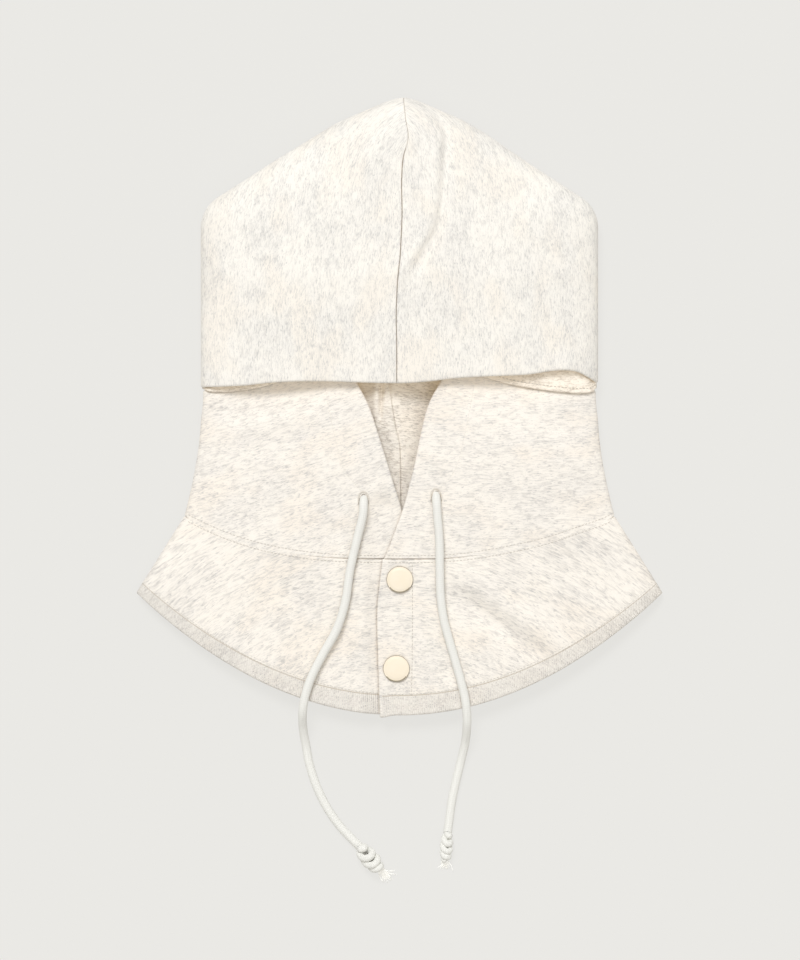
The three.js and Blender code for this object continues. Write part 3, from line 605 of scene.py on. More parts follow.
def satin_resin(name, base):
    """Cast cream resin: even, with faint clouds and a soft satin gloss."""
    m = Nodes(name)
    where = m.add("ShaderNodeTexCoord").outputs["Object"]
    cloud = m.noise(where, (160.0, 160.0), 2.0)
    grain = m.noise(where, (1500.0, 1500.0), 1.0)
    colour = m.blend(m.ramp(cloud, 0.35, 0.7, 0.6), base, tinted(base, 0.985, 0.97, 0.94))
    material = m.finish(colour, m.bump(grain, 0.00004, 0.25), 0.38)
    m.shader.inputs["Specular IOR Level"].default_value = 0.45
    return material


def snap_metal(name, base):
    """Nickel plating: turned brushing, with a fine grain in its colour and bumps."""
    m = Nodes(name)
    where = m.add("ShaderNodeTexCoord").outputs["Object"]
    grain = m.noise(where, (700.0, 2600.0), 2.0)
    colour = m.blend(m.ramp(grain, 0.3, 0.7, 1.0), base, tinted(base, 0.88, 0.88, 0.88))
    material = m.finish(colour, m.bump(grain, 0.00005, 0.3), 0.3)
    m.shader.inputs["Metallic"].default_value = 1.0
    return material


hood_cloth = jersey("hood_jersey", (0.915, 0.887, 0.828), (0.60, 0.583, 0.553))
# The neck has a painted warm glow under the brim and a lighter painted shade in its hollows.
neck_cloth = jersey("neck_jersey", (0.912, 0.868, 0.80), (0.59, 0.562, 0.525), grain=0.78,
                    warm_light=0.045, depth=0.5)
bib_cloth = jersey("bib_jersey", (0.912, 0.866, 0.795), (0.57, 0.545, 0.51), grain=0.74)
hem_cloth = jersey("hem_jersey", (0.90, 0.862, 0.80), (0.52, 0.49, 0.46), rib=68.0, strength=1.15)
# The lining has a painted warm glow under the brim.
lining_cloth = jersey("lining_jersey", (0.915, 0.86, 0.775), (0.50, 0.44, 0.37), strength=1.15,
                      warm_light=0.085)
cord_yarn = braid("cord_braid", (0.81, 0.808, 0.768), (0.765, 0.76, 0.718))
thread = plain_yarn("sewing_thread", (0.60, 0.565, 0.505))
# Painted shade: a dark brown yarn for the arch over each cord, where the buttonhole slit is in shadow.
slit_shadow_thread = plain_yarn("shaded_thread", (0.34, 0.29, 0.23))
pale_thread = plain_yarn("pale_thread", (0.80, 0.765, 0.70))
# The tassels' yarn glows with painted light, so that the shade among its thin strands does not grey it.
frayed_yarn = plain_yarn("frayed_yarn", (0.93, 0.925, 0.89), 0.16)
cap_resin = satin_resin("cream_resin", (0.885, 0.795, 0.645))
rim_resin = satin_resin("cream_resin_rim", (0.36, 0.31, 0.22))
nickel = snap_metal("nickel_plate", (0.70, 0.67, 0.62))

# ---- Camera and light -------------------------------------------------------------------------

VIEW_X, VIEW_Y, VIEW_TALL, VIEW_FAR = 0.35, -52.5, 672.0, 3000.0
camera = bpy.data.objects.new("camera", bpy.data.cameras.new("camera"))
bpy.context.scene.collection.objects.link(camera)
camera.location = (VIEW_X * MM, VIEW_Y * MM, VIEW_FAR * MM)
camera.data.sensor_width = 36.0
camera.data.lens = 36.0 * VIEW_FAR / VIEW_TALL
camera.data.clip_end = 100.0
bpy.context.scene.camera = camera
bpy.context.scene.view_settings.view_transform = "Standard"

world = bpy.data.worlds.new("studio")
bpy.context.scene.world = world
world.use_nodes = True
world.node_tree.nodes["Background"].inputs[0].default_value = (1.0, 0.965, 0.905, 1.0)
world.node_tree.nodes["Background"].inputs[1].default_value = 0.515


def soft_sun(name, direction, strength, spread, colour=(1.0, 1.0, 1.0)):
    """A broad, soft light that shines along a direction."""
    lamp = bpy.data.objects.new(name, bpy.data.lights.new(name, "SUN"))
    lamp.data.energy, lamp.data.angle, lamp.data.color = strength, math.radians(spread), colour
    lamp.rotation_mode = "QUATERNION"
    lamp.rotation_quaternion = Vector(direction).to_track_quat("-Z", "Y")
    lamp.location = (0, 0, 2)
    bpy.context.scene.collection.objects.link(lamp)


soft_sun("key", (0.2, -0.66, -1.0), 1.86, 22, (0.985, 1.0, 1.03))
soft_sun("fill", (-0.25, 0.25, -1.0), 0.55, 60)

floor_points = [(-4000, -4000, -0.2), (4000, -4000, -0.2), (4000, 4000, -0.2), (-4000, 4000, -0.2)]
paper = Nodes("floor_paper")
paper_grain = paper.noise(paper.add("ShaderNodeTexCoord").outputs["Object"], (300.0, 300.0), 1.0)
paper_speckle = paper.ramp(paper_grain, 0.3, 0.7, 0.3)
paper_colour = paper.blend(paper_speckle, (0.091, 0.090, 0.087), (0.089, 0.087, 0.085))
paper.shader.inputs["Emission Color"].default_value = (1.0, 0.99, 0.953, 1.0)
paper.shader.inputs["Emission Strength"].default_value = 0.71
floor = make_mesh("floor", floor_points, [[0, 1, 2, 3]], finishes=(paper.finish(paper_colour, None, 0.9),))

# ---- Drawcords --------------------------------------------------------------------------------

CORD_ROUTES = {
    "left": [(-24.9, -59.5, 21.5), (-24.8, -64.5, 25.4), (-24.9, -70, 28.8), (-25.6, -78, 29.2),
             (-29.5, -94, 27.9), (-34.2, -114.7, 26.42), (-37.6, -137, 24.94), (-43.5, -156, 23.63),
             (-52.9, -173, 22.4), (-61, -189, 21.24), (-65.4, -202, 20.38), (-67.4, -214, 18),
             (-67.3, -226, 9.5), (-65.4, -238, 4.4), (-63, -251, 3.15), (-58.2, -266, 3.15),
             (-51, -281, 3.15), (-42, -294, 3.15), (-34, -302.7, 3.15), (-27, -309.7, 3.15)],
    "right": [(25.4, -57.5, 21.8), (25.4, -62.5, 25.6), (25.7, -68, 28.9), (26.5, -79, 29.1),
              (27.8, -96, 27.8), (28, -115, 26.56), (28.6, -133, 25.4), (31, -150.4, 24.24),
              (35.6, -167.2, 23.1), (40.4, -184, 21.97), (44.4, -199, 20.97),
              (46.4, -210, 20.25), (47, -222, 17), (46, -235, 8.5), (43.2, -248, 4), (39.8, -262, 3.15),
              (36.8, -276, 3.15), (34.9, -289, 3.15), (33.6, -299.5, 3.15)],
}
HIDDEN_ROUTES = {
    "left": [(-25.5, -56.6), (-27.5, -42), (-31, -22), (-36, -2), (-42, 15), (-49, 28)],
    "right": [(25.6, -57.2), (27.5, -42), (31, -22), (36, -2), (42, 15), (49, 28)],
}
TUNNEL_DEPTH = 1.9 + CORD_RADIUS  # of the hidden cord's middle below the cloth's face


def knot_path(start, end, wraps, radius, lean, strand):
    """A cord's line through its knot: it comes in at start, winds about the line to end, bulging in
    the middle as a half sine, and goes out at end. lean tilts the wraps along the line."""
    a, b = np.array([*start, radius + strand + 0.2]), np.array([*end, radius + strand + 0.2])
    t = np.linspace(0, 1, 240)
    along = unit(b - a)
    across = unit(np.cross(along, [0, 0, 1.0]))
    angle = 2 * np.pi * wraps * t
    bulge = radius * np.sin(np.pi * clamp((t - 0.04) / 0.92)) ** 0.45
    line = a + (b - a) * t[:, None]
    winding = np.cos(angle)[:, None] * across + np.sin(angle)[:, None] * np.array([0, 0, 1.0])
    line = line + bulge[:, None] * winding
    return line + along * (lean * np.sin(angle) * np.sin(np.pi * t))[:, None]


def tassel(name, root, tip, spread, count, seed):
    """A frayed end: fine strands that leave the root together and fan out and curl towards the tip."""
    draw = np.random.default_rng(seed)
    root, tip = np.array(root, float), np.array(tip, float)
    rows, sides = 9, 5
    t = np.linspace(0, 1, rows)
    a = np.linspace(0, 2 * np.pi, sides, endpoint=False)
    along = unit(tip - root)
    across = unit(np.cross(along, [0, 0, 1.0]))
    points, faces, uv = [], [], []
    for k in range(count):
        out, lift = draw.normal(0, 1), draw.uniform(-0.6, 1)
        curl, long = draw.normal(0, 0.8), draw.uniform(0.6, 1.05)
        start = root + across * draw.normal(0, 0.9) + np.array([0, 0, draw.normal(0, 0.7)])
        line = start + (tip - root) * (t * long)[:, None]
        line = line + across * (out * spread * t**1.4 + curl * np.sin(3 * t + k))[:, None]
        line[:, 2] = np.maximum(0.45, line[:, 2] * (1 - 0.5 * t) + lift * 1.6 * t)
        faces += ring_faces(rows, sides, first=len(points) * rows * sides)
        points.append(rings_round(line, 0.42 * (1 - 0.55 * t), a).reshape(-1, 3))
        uv.append(np.stack(np.meshgrid(a / 6.3, t * 0.15), -1).reshape(-1, 2))
    fringe = make_mesh(name, np.concatenate(points), faces, np.concatenate(uv), finishes=(frayed_yarn,))
    return outward(fringe)


KNOTS = {
    "left": dict(start=(-28.0, -308.6), end=(-13.6, -324.8), wraps=3.9, radius=4.2, lean=3.4, strand=2.55,
                 tip=(-6.5, -333.0), fan=3.6, strands=34, seed=7),
    "right": dict(start=(33.7, -298.6), end=(32.0, -319.0), wraps=4.3, radius=2.5, lean=2.4, strand=2.25,
                  tip=(31.2, -325.5), fan=2.2, strands=22, seed=8),
}

for side, route in CORD_ROUTES.items():
    path = curve_through(route, 1.2)
    run = run_along(path)
    pinch = 0.3 + 0.7 * smooth(run, 0, 10)
    cord = outward(tube(f"{side}_drawcord", path, CORD_RADIUS, cord_yarn, 20, pinch))
    k = KNOTS[side]
    line = knot_path(k["start"], k["end"], k["wraps"], k["radius"], k["lean"], k["strand"])
    knot = outward(tube(f"{side}_cord_knot", line, k["strand"], cord_yarn, 14))
    fringe = tassel(f"{side}_cord_tassel", line[-6], (*k["tip"], 1.2), k["fan"], k["strands"], k["seed"])
    body = f"{side}_drawcord"
    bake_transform(cord)
    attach(knot, body)
    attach(fringe, body)
    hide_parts(f"{side}_cord")
    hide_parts(f"{side}_knot")
    hidden = np.array(HIDDEN_ROUTES[side], float)
    sign = -1 if side == "left" else 1
    depth = front_z(hidden[:, 0], hidden[:, 1], sign) - TUNNEL_DEPTH
    hidden_path = curve_through(np.column_stack([hidden, depth]), 2.0)
    inner = outward(tube(f"{side}_cord_in_tunnel", hidden_path, CORD_RADIUS, cord_yarn, 14))
    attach(inner, "root")
    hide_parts(f"{side}_tunnel_cord")

# ---- Hood -------------------------------------------------------------------------------------

def crown_outline(share):
    """Points of the crown's outline in plan: side, shoulder arc, sloping roof line, peak arc."""
    lift = 1 / math.cos(ROOF_SLOPE) - 1
    ridge = PEAK_Y + PEAK_RADIUS * lift
    turn = math.pi / 2 - ROOF_SLOPE
    back = SHOULDER_RADIUS * math.tan(turn / 2)
    arc_y = ridge - HOOD_HALF * math.tan(ROOF_SLOPE) - back
    a = np.linspace(0, turn, 30)
    shoulder = np.column_stack([HOOD_HALF - SHOULDER_RADIUS * (1 - np.cos(a)),
                                arc_y + SHOULDER_RADIUS * np.sin(a)])
    b = np.linspace(turn, math.pi / 2, 30)
    peak = np.column_stack([PEAK_RADIUS * np.cos(b), PEAK_Y - PEAK_RADIUS * (1 - np.sin(b))])
    roof = shoulder[-1] + (peak[0] - shoulder[-1]) * np.linspace(0, 1, 22)[1:-1, None]
    line = np.vstack([[HOOD_HALF, FOLD_Y], shoulder, roof, peak])
    line[:, 1] -= 4.8 * bump(line[:, 0] - 21, 17) + 1.2 * bump(line[:, 0], 12)
    run = run_along(line)
    at = share * run[-1]
    return np.column_stack([np.interp(at, run, line[:, 0]), np.interp(at, run, line[:, 1])])


def hood_front(side):
    """One front of the hood, rim to peak, on rulings from the centre seam to the outline. Height falls
    along each ruling as a superellipse to the side fold, and then turns under as a quarter circle."""
    brim_rows = stops(FOLD_Y - RIM_Y, 2.2, end=False)
    brim_count = len(brim_rows)
    last_rows = [0.974, 0.982, 0.988, 0.9925, 0.996, 0.9985, 1.0]
    crown_rows = np.concatenate([np.linspace(0, 0.965, 84)[1:], last_rows])
    near = np.array([0, 0.1, 0.35, 0.7, 1.1, 1.7, 2.6, 4.0, 6.0]) / HOOD_HALF
    out = np.linspace(near[-1], 0.9, 54)[1:]
    share = np.concatenate([near, out, [0.925, 0.948, 0.966, 0.98, 0.9895, 0.996, 0.9992, 1.0]])
    wrap = np.linspace(0, 1, 12)[1:]
    brim_edge = np.column_stack([np.full(brim_count, HOOD_HALF), np.zeros(brim_count)])
    edge = np.vstack([brim_edge, crown_outline(crown_rows)])
    spine_y = np.concatenate([np.zeros(brim_count), mix(FOLD_Y, PEAK_Y - PEAK_TOP, crown_rows)])
    top = np.concatenate([mix(RIM_TOP, HOOD_TOP, brim_rows), mix(HOOD_TOP, PEAK_TOP, crown_rows)])
    under = np.concatenate([np.full(brim_count, 0.42), mix(0.42, 1.0, smooth(crown_rows, 0.0, 0.06))])
    x = edge[:, :1] * share
    y = spine_y[:, None] + (edge[:, 1:] - spine_y[:, None]) * share
    low = rim_y(side * x[:brim_count])
    y[:brim_count] = mix(low, FOLD_Y, brim_rows[:, None])
    power = 2.5
    z = SIDE_FOLD + (top[:, None] - SIDE_FOLD) * (1 - share**power) ** (1 / power)
    z += hood_relief(side * x, y) * (1 - share**8)
    reach = np.hypot(edge[:, 0], edge[:, 1] - spine_y)[:, None]
    reach[:brim_count] = HOOD_HALF
    radius = np.minimum(SIDE_FOLD, 0.9 * reach)
    turn = under[:, None] * wrap * np.pi / 2
    inward = unit(np.stack([x[:, :1] - x[:, -1:], y[:, :1] - y[:, -1:]], -1))
    wx = x[:, -1:] + inward[..., 0] * radius * (1 - np.cos(turn))
    wy = y[:, -1:] + inward[..., 1] * radius * (1 - np.cos(turn))
    wz = z[:, -1:] - SIDE_FOLD * np.sin(turn) * 0.985
    x, y, z = np.hstack([x, wx]), np.hstack([y, wy]), np.hstack([z, wz])
    bend = x_at(HOOD_SEAM, y) * clamp(1 - x / HOOD_HALF) ** 2
    grid = np.stack([side * x + bend, y, z], -1)
    steps = np.linalg.norm(np.diff(grid, axis=1), axis=-1)
    run = np.concatenate([np.zeros((grid.shape[0], 1)), np.cumsum(steps, axis=1)], axis=1)
    return grid, turned(side * run + 300, grid[..., 1], 2 * side)


def declare(top):
    """Works out a cloth panel's size as a sheet: its length and width as its face measures along the middle,
    and its area. The results are not kept.
    """
    long = np.linalg.norm(np.diff(top, axis=0), axis=-1).sum(0).max() * MM
    wide = np.linalg.norm(np.diff(top, axis=1), axis=-1).sum(1).max() * MM
    a, b, c, d = top[:-1, :-1], top[1:, :-1], top[:-1, 1:], top[1:, 1:]
    halves = [np.linalg.norm(np.cross(b - e, c - e), axis=-1) for e in (a, d)]
    area = 0.5 * (halves[0] + halves[1]).sum() * MM**2
    share = area / (wide * long)
    if share > 1:
        long = area / wide


for name, side in (("left", -1), ("right", 1)):
    grid, uv = hood_front(side)
    panel = cloth(f"hood_panel_{name}", grid, uv, hood_cloth, lining_cloth, flip=side < 0,
                  radii=((1.7, 0.7), (1.15, 1.5)))
    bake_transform(panel)
    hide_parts(f"hood_crown_{name}", f"hood_crown_{name}_lining",
                f"brim_{name}", f"brim_{name}_lining")
    declare(grid)


def outline_half(y):
    """Half the width of the hood's outline at heights y."""
    line = crown_outline(np.linspace(0, 1, 400))
    return np.where(y > FOLD_Y, np.interp(y, line[:, 1], line[:, 0]), half_width(y))


def hood_back():
    """The back of hood and neck: flat on the floor, and turned up as a quarter circle along the
    sides where the brim can lift away from it."""
    wall_stops = stops(1, 0.08, True, False, 0.1)[:14]
    s = np.concatenate([-2 + wall_stops, np.linspace(-1, 1, 121), 2 - wall_stops[::-1]])
    s = np.unique(np.round(s, 5))
    t = stops(300, 2.6)
    y_top = PEAK_Y - 6
    xs = np.clip(s, -1, 1)
    y = mix(neck_seam_y(xs * NECK_HALF * 0.92)[None] - 1.0, y_top, t[:, None])
    open_side = smooth(y, RIM_Y - 10, RIM_Y + 2) * (1 - smooth(y, FOLD_Y + 12, FOLD_Y + 26))
    fold = np.minimum(fold_height(y), outline_half(y) * 0.8)
    half = np.maximum(outline_half(y) - 0.5, 2.0)
    turn = clamp(np.abs(s) - 1) * open_side * np.pi / 2 * 0.98
    flat = (half - fold - 1.5 - 1.9 * open_side) * xs
    x = flat + np.sign(s) * fold * np.sin(turn)
    z = 0.1 + fold * (1 - np.cos(turn))
    return np.stack([x, y, z], -1)


grid = hood_back()
uv = turned(grid[..., 0], grid[..., 1], 0)
panel = cloth("hood_back_panel", grid, uv, hood_cloth, lining_cloth, flip=True)
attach(panel, "root")
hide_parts("hood_back_left", "hood_back_left_lining", "hood_back_right", "hood_back_right_lining")
declare(grid)


def side_gusset(side):
    """The strip of cloth inside the side fold that joins the brim to the back: upright, and leaning
    in towards its foot as a square of the depth below the fold."""
    up = np.linspace(-1.0, 1.35, 26)
    y = np.linspace(RIM_Y + 5, FOLD_Y + 18, 40)
    low = SIDE_FOLD - np.abs(np.minimum(up, 0)) * SIDE_FOLD * 0.62
    high = SIDE_FOLD + np.maximum(up, 0) * 6.0
    height = np.where(up < 0, low, high)
    inset = 5.8 + np.where(up < 0, 1.6 * np.minimum(up, 0) ** 2, 0.6 * np.maximum(up, 0))
    x = side * (HOOD_HALF - inset - 1.6)
    return np.stack(np.broadcast_arrays(x[None], y[:, None], height[None]), -1)


for name, side in (("left", -1), ("right", 1)):
    grid = side_gusset(side)
    uv = turned(grid[..., 1], grid[..., 2] * 4, 90)
    gusset = cloth(f"side_gusset_{name}", grid, uv, hood_cloth, lining_cloth, flip=side > 0, wall=1.2,
                   radii=((0.6, 0.6), (0.6, 0.6)))
    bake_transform(gusset)
    declare(grid)

# ---- Neck and bib fronts ----------------------------------------------------------------------

def tunnel_swell(x, y, side):
    """How far the lining stands out round the hidden cord: a bell across the cord's line."""
    hidden = HIDDEN_ROUTES["left" if side < 0 else "right"]
    off = x - x_at(hidden, y)
    return (2 * CORD_RADIUS + 0.6) * bump(off, 4.6) * smooth(y, -64, -56) * (1 - smooth(y, 24, 33))


def front_sides(x, y, z, y_free):
    """Adds the columns that turn under from the side fold to the floor, as a quarter circle."""
    fold = z[:, -1:]
    turn = np.linspace(0, 1, 11)[None, 1:] * np.pi / 2 * (1 - 0.75 * smooth(y[:, -1:], y_free, y_free + 8))
    wx = x[:, -1:] - fold * (1 - np.cos(turn))
    wz = fold - fold * np.sin(turn) * 0.985
    return np.hstack([x, wx]), np.hstack([y, np.broadcast_to(y[:, -1:], wx.shape)]), np.hstack([z, wz])


def neck_front(side):
    """A neck front, from the neck seam to its top under the brim, from the edge of the opening
    out to the side fold and under it."""
    c = stops(150, 1.7, True, False, 1.8)
    c = np.sin(c * np.pi / 2 * 0.999) / np.sin(np.pi / 2 * 0.999) * 0.35 + c * 0.65
    v = stops(130, 1.9, True, True, 1.2)
    edge = LEFT_EDGE if side < 0 else RIGHT_EDGE

    def edge_x(y):
        """The opening's edge at heights y, counted outwards."""
        return side * x_at(edge, y)

    foot_x = mix(edge_x(NECK_Y), NECK_HALF, c)
    y = mix(neck_seam_y(side * foot_x)[None] + 0.03, NECK_TOP_Y, v[:, None])
    x = mix(edge_x(y), neck_width(y), c[None])
    z = front_z(side * x, y, side)
    swell = tunnel_swell(side * x, y, side)
    x, y, z = front_sides(x, y, z, RIM_Y - 12)
    swell = np.hstack([swell, np.zeros((len(v), 10))])
    return np.stack([side * x, y, z], -1), swell


def bib_front(side):
    """A bib front, from the neck seam to the hem, from the placket out to the side fold and under it."""
    c = stops(170, 1.7, True, False, 1.8)
    v = stops(108, 1.9, True, True, 1.5)
    top_x = mix(-OVERLAP + 2, NECK_HALF, c)
    low_x = mix(-OVERLAP, BIB_HALF, c)
    x = mix(top_x[None], low_x[None], v[:, None])
    y = mix(neck_seam_y(side * top_x)[None] - 0.03, hem_y(side * low_x)[None], v[:, None])
    if side > 0:
        shift = x_at(PLACKET_EDGE, y) - mix(-OVERLAP + 2, -OVERLAP, v[:, None])
        x = x + shift * (1 - smooth(x, -OVERLAP, OVERLAP))
        y = y - 2.0 * bump(x + 12, 5) * v[:, None] ** 6
    z = front_z(side * x, y, side)
    band_top = 1 - HEM_BAND / BIB_TALL
    hem = smooth(v, band_top - 0.004, band_top + 0.012)[:, None]
    ditch = bump((v - band_top) * BIB_TALL, 0.9)[:, None]
    z = z + (0.35 * hem - 0.7 * ditch) * (1 - clamp(np.abs(x) / half_width(y)) ** 6)
    x, y, z = front_sides(x, y, z, 900)
    return np.stack([side * x, y, z], -1), v


def peel(piece):
    """Bakes a piece of the right front's placing into its mesh."""
    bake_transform(piece)


for name, side in (("left", -1), ("right", 1)):
    grid, swell = neck_front(side)
    uv = turned(grid[..., 0], grid[..., 1], 107.0 if side < 0 else 91.0)
    neck = cloth(f"neck_panel_{name}", grid, uv, neck_cloth, lining_cloth, flip=side < 0,
                 radii=((0.9, 1.6), (1.7, 1.2)), swell=swell)
    bib_grid, v = bib_front(side)
    angle = np.arctan2(bib_grid[..., 0], bib_grid[..., 1] - GRAIN_CENTRE_Y)
    radius = np.hypot(bib_grid[..., 0], bib_grid[..., 1] - GRAIN_CENTRE_Y)
    uv = turned(angle * GRAIN_RADIUS, radius, 90)
    along = np.cumsum(np.linalg.norm(np.diff(bib_grid, axis=1, prepend=bib_grid[:, :1]), axis=-1), axis=1)
    edge_uv = np.stack([along / 100, np.broadcast_to(v[:, None], along.shape)], -1)
    uv = np.concatenate([uv, edge_uv], -1)
    columns = bib_grid.shape[1] - 1
    in_band = np.broadcast_to((v[1:] > 1 - HEM_BAND / BIB_TALL)[:, None], (len(v) - 1, columns)).copy()
    if side > 0:
        in_band[:, bib_grid[0, 1:, 0] < PLACKET_HEM_END] = False
    bib = cloth(f"bib_panel_{name}", bib_grid, uv, bib_cloth, lining_cloth, flip=side > 0,
                radii=((0.9, 1.5), (0.8, 1.2)), band=in_band, band_finish=hem_cloth)
    for piece, points in ((neck, grid), (bib, bib_grid)):
        if side < 0:
            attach(piece, "root")
        else:
            peel(piece)
        declare(points)
    if side < 0:
        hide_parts("neck_front_left", "neck_front_left_lining")
        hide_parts("bib_left_front", "bib_left_hem", "underlap_facing")
    else:
        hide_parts("neck_front_right", "neck_front_right_lining",
                    "neck_overlap", "neck_overlap_lining")
        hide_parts("bib_right_front", "bib_right_hem",
                    "bib_overlap", "bib_overlap_hem", "overlap_facing")


def bib_back_shape():
    """The bib's back: flat on the floor, on straight rulings from the neck seam to the hem, and a
    little narrower than the front, which folds round to it."""
    s = np.linspace(-1, 1, 160)
    t = stops(105, 3.0)
    y = mix(neck_seam_y(s * NECK_HALF)[None] + 0.5, hem_y(s * BIB_HALF)[None] + 0.6, t[:, None])
    x = s[None] * mix(NECK_HALF, BIB_HALF, t[:, None]) * (1 - 7.0 / 184)
    return np.stack([x, y, 0.1 + 0 * x], -1)


grid = bib_back_shape()
bib_back = cloth("bib_back_panel", grid, turned(grid[..., 0], grid[..., 1], 90), bib_cloth, lining_cloth)
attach(bib_back, "root")
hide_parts("bib_back", "bib_back_hem")
declare(grid)

# ---- Inside the opening -----------------------------------------------------------------------

def back_lining_shape():
    """The back's lining, in the middle of which the opening shows it: bells puff it up, a narrow one
    sinks its seam, and another pair makes the ridge and the tuck on the left of the seam."""
    half = 46.0
    near = np.concatenate([np.full(22, -half), np.linspace(-half, -9, 34), np.linspace(-8.8, 8.8, 90),
                           np.linspace(9, half, 34), np.full(22, half)])
    far = np.concatenate([np.linspace(-1, -0.02, 22), np.zeros(158), np.linspace(0.02, 1, 22)])
    y = np.concatenate([np.linspace(-100, 40, 110), np.linspace(42, 178, 40)])[:, None]
    seam = x_at(LINING_SEAM, np.minimum(y, 60)) * (1 - smooth(y, 60, 120))
    s = near[None] + far[None] * np.maximum(outline_half(y) - 9 - half, 4)
    x = s + seam * (1 - np.abs(far[None]))
    puff = 8.4 + 3.2 * bump(s + 3, 26) + 6.0 * bump(s, 19) * smooth(y, -60, -10)
    z = 4.6 + puff * bump(s, 70) * (1 - 0.9 * smooth(y, 20, 130)) + 0.5 * softness(x, y, 26, 21)
    z = z - 1.7 * bump(s, 0.75) - 1.4 * smooth(s, 0, 1.2) * (1 - smooth(s, 4, 16))
    tuck = bump(x + 12.6 - 0.06 * (y - 5), 1.6) * smooth(y, -16, -6)
    z = z + 2.6 * bump(x + 16.5, 3.2) * smooth(y, -24, 0) - 2.4 * tuck
    return np.stack([x, y + 0 * x, z], -1)


grid = back_lining_shape()
back_lining = cloth("back_lining", grid, turned(grid[..., 0], grid[..., 1], 84), lining_cloth, lining_cloth,
                    wall=1.2, radii=((0.8, 0.8), (0.8, 0.8)))
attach(back_lining, "root")
declare(grid)


def rim_turn(name, side, foot, rise):
    """The turned strip of the opening's edge that shows below a corner of the brim: its lower edge
    follows the foot curve, and it climbs back up under the brim."""
    line = curve_through(foot, 1.5)
    t = stops(25, 1.1, True, True, 1.4)[:, None]
    x = line[None, :, 0] + 0 * t
    y = mix(line[None, :, 1], RIM_Y + 18, t)
    z = front_z(x, np.minimum(y, RIM_Y + 6), side) + 2.6 + rise * np.sin(np.pi * clamp(0.15 + 0.7 * t))
    z = np.minimum(z, NECK_TOP + 4)
    grid = np.stack([x, y, z], -1)
    piece = cloth(name, grid, turned(x, y, 90), lining_cloth, lining_cloth, wall=2.2,
                  radii=((1.2, 1.0), (0.8, 0.8)))
    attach(piece, "root")
    declare(grid)
    return piece


RIGHT_TURN = [(56, 20), (61, 18.2), (78.4, 13.5), (97, 10.4), (116, 8.2), (127, 7.7), (134, 8.6),
              (137.4, 11.6)]
LEFT_TURN = [(-137.4, 11.2), (-134.5, 9.6), (-126, 8.9), (-112, 9.6), (-98, 11.8), (-84, 15.5)]
right_turn = rim_turn("turned_rim_right", 1, RIGHT_TURN, 0.8)
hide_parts("rim_turn_right")
left_turn = rim_turn("turned_rim_left", -1, LEFT_TURN, 0.5)
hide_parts("rim_turn_left")

# ---- Snaps ------------------------------------------------------------------------------------

TILT = math.atan(FRONT_SLOPE)
CAP_RADIUS = 9.0
# Heights from the cloth's face, and outlines as (radius, height) from those heights.
socket_top, stud_base = -WALL - 0.3, -5.9
SOCKET_OUTLINE = [(1.9, 0.0), (1.9, -0.6), (2.9, -0.6), (2.9, -2.0), (3.4, -2.2), (5.6, -2.2), (6.2, -1.7),
                  (6.3, -0.5), (6.0, 0.0), (1.9, 0.0)]
STUD_OUTLINE = [(0, 0.3), (0, -0.4), (5.7, -0.4), (6.0, -0.2), (5.8, 0.0), (2.5, 0.1), (2.1, 0.4),
                (2.35, 1.0), (2.2, 1.4), (1.5, 1.6), (0, 1.6)]
POST_OUTLINE = [(0, -10.9), (5.0, -10.9), (5.3, -10.6), (5.2, -10.2), (1.3, -10.1), (1.3, -5.8), (0, -5.8)]


def raised(outline, height):
    """An outline moved up to a height."""
    return [(radius, height + up) for radius, up in outline]


for name, place in zip(("upper", "lower"), SNAP_PLACES):
    centre = (place[0], place[1], top_height(place[1]))
    dome = [(CAP_RADIUS * 0.86 * (1 - t), 1.9 + 0.5625 * (1 - (1 - t) ** 2) ** 0.5)
            for t in np.linspace(0, 1, 14)]
    rim = [(CAP_RADIUS - 0.15 + 0.35 * math.cos(t), 0.95 + 0.95 * math.sin(t))
           for t in np.linspace(-1.9, 1.3, 12)]
    outline = [(0, 0.1), (CAP_RADIUS - 0.7, 0.1)] + rim + [(CAP_RADIUS * 0.925, 1.75)] + dome
    cap = lathe(f"{name}_cap", outline, centre, TILT, cap_resin)
    cap.data.materials.append(rim_resin)
    middles = np.array([face.center[:2] for face in cap.data.polygons]) / MM
    radial = np.hypot(middles[:, 0] - centre[0], middles[:, 1] - centre[1])
    cap.data.polygons.foreach_set("material_index", (radial > CAP_RADIUS * 0.965).astype(np.int32))
    rivet = [(0, socket_top - 0.5), (1.6, socket_top - 0.5), (1.6, 0.3), (0, 0.3)]
    stem = lathe(f"{name}_cap_rivet", rivet, centre, TILT, nickel, 24)
    stem.parent = cap
    socket = lathe(f"{name}_socket", raised(SOCKET_OUTLINE, socket_top), centre, TILT, nickel)
    stud = lathe(f"{name}_stud", raised(STUD_OUTLINE, stud_base), centre, TILT, nickel)
    post = lathe(f"{name}_post", POST_OUTLINE, centre, TILT, nickel)
    for piece, body, node in ((cap, "overlap", "cap"), (socket, "overlap", "socket"),
                              (stud, "root", "stud"), (post, "root", "post")):
        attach(piece, body)
        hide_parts(f"{name}_snap_{node}")

# ---- Stitching --------------------------------------------------------------------------------

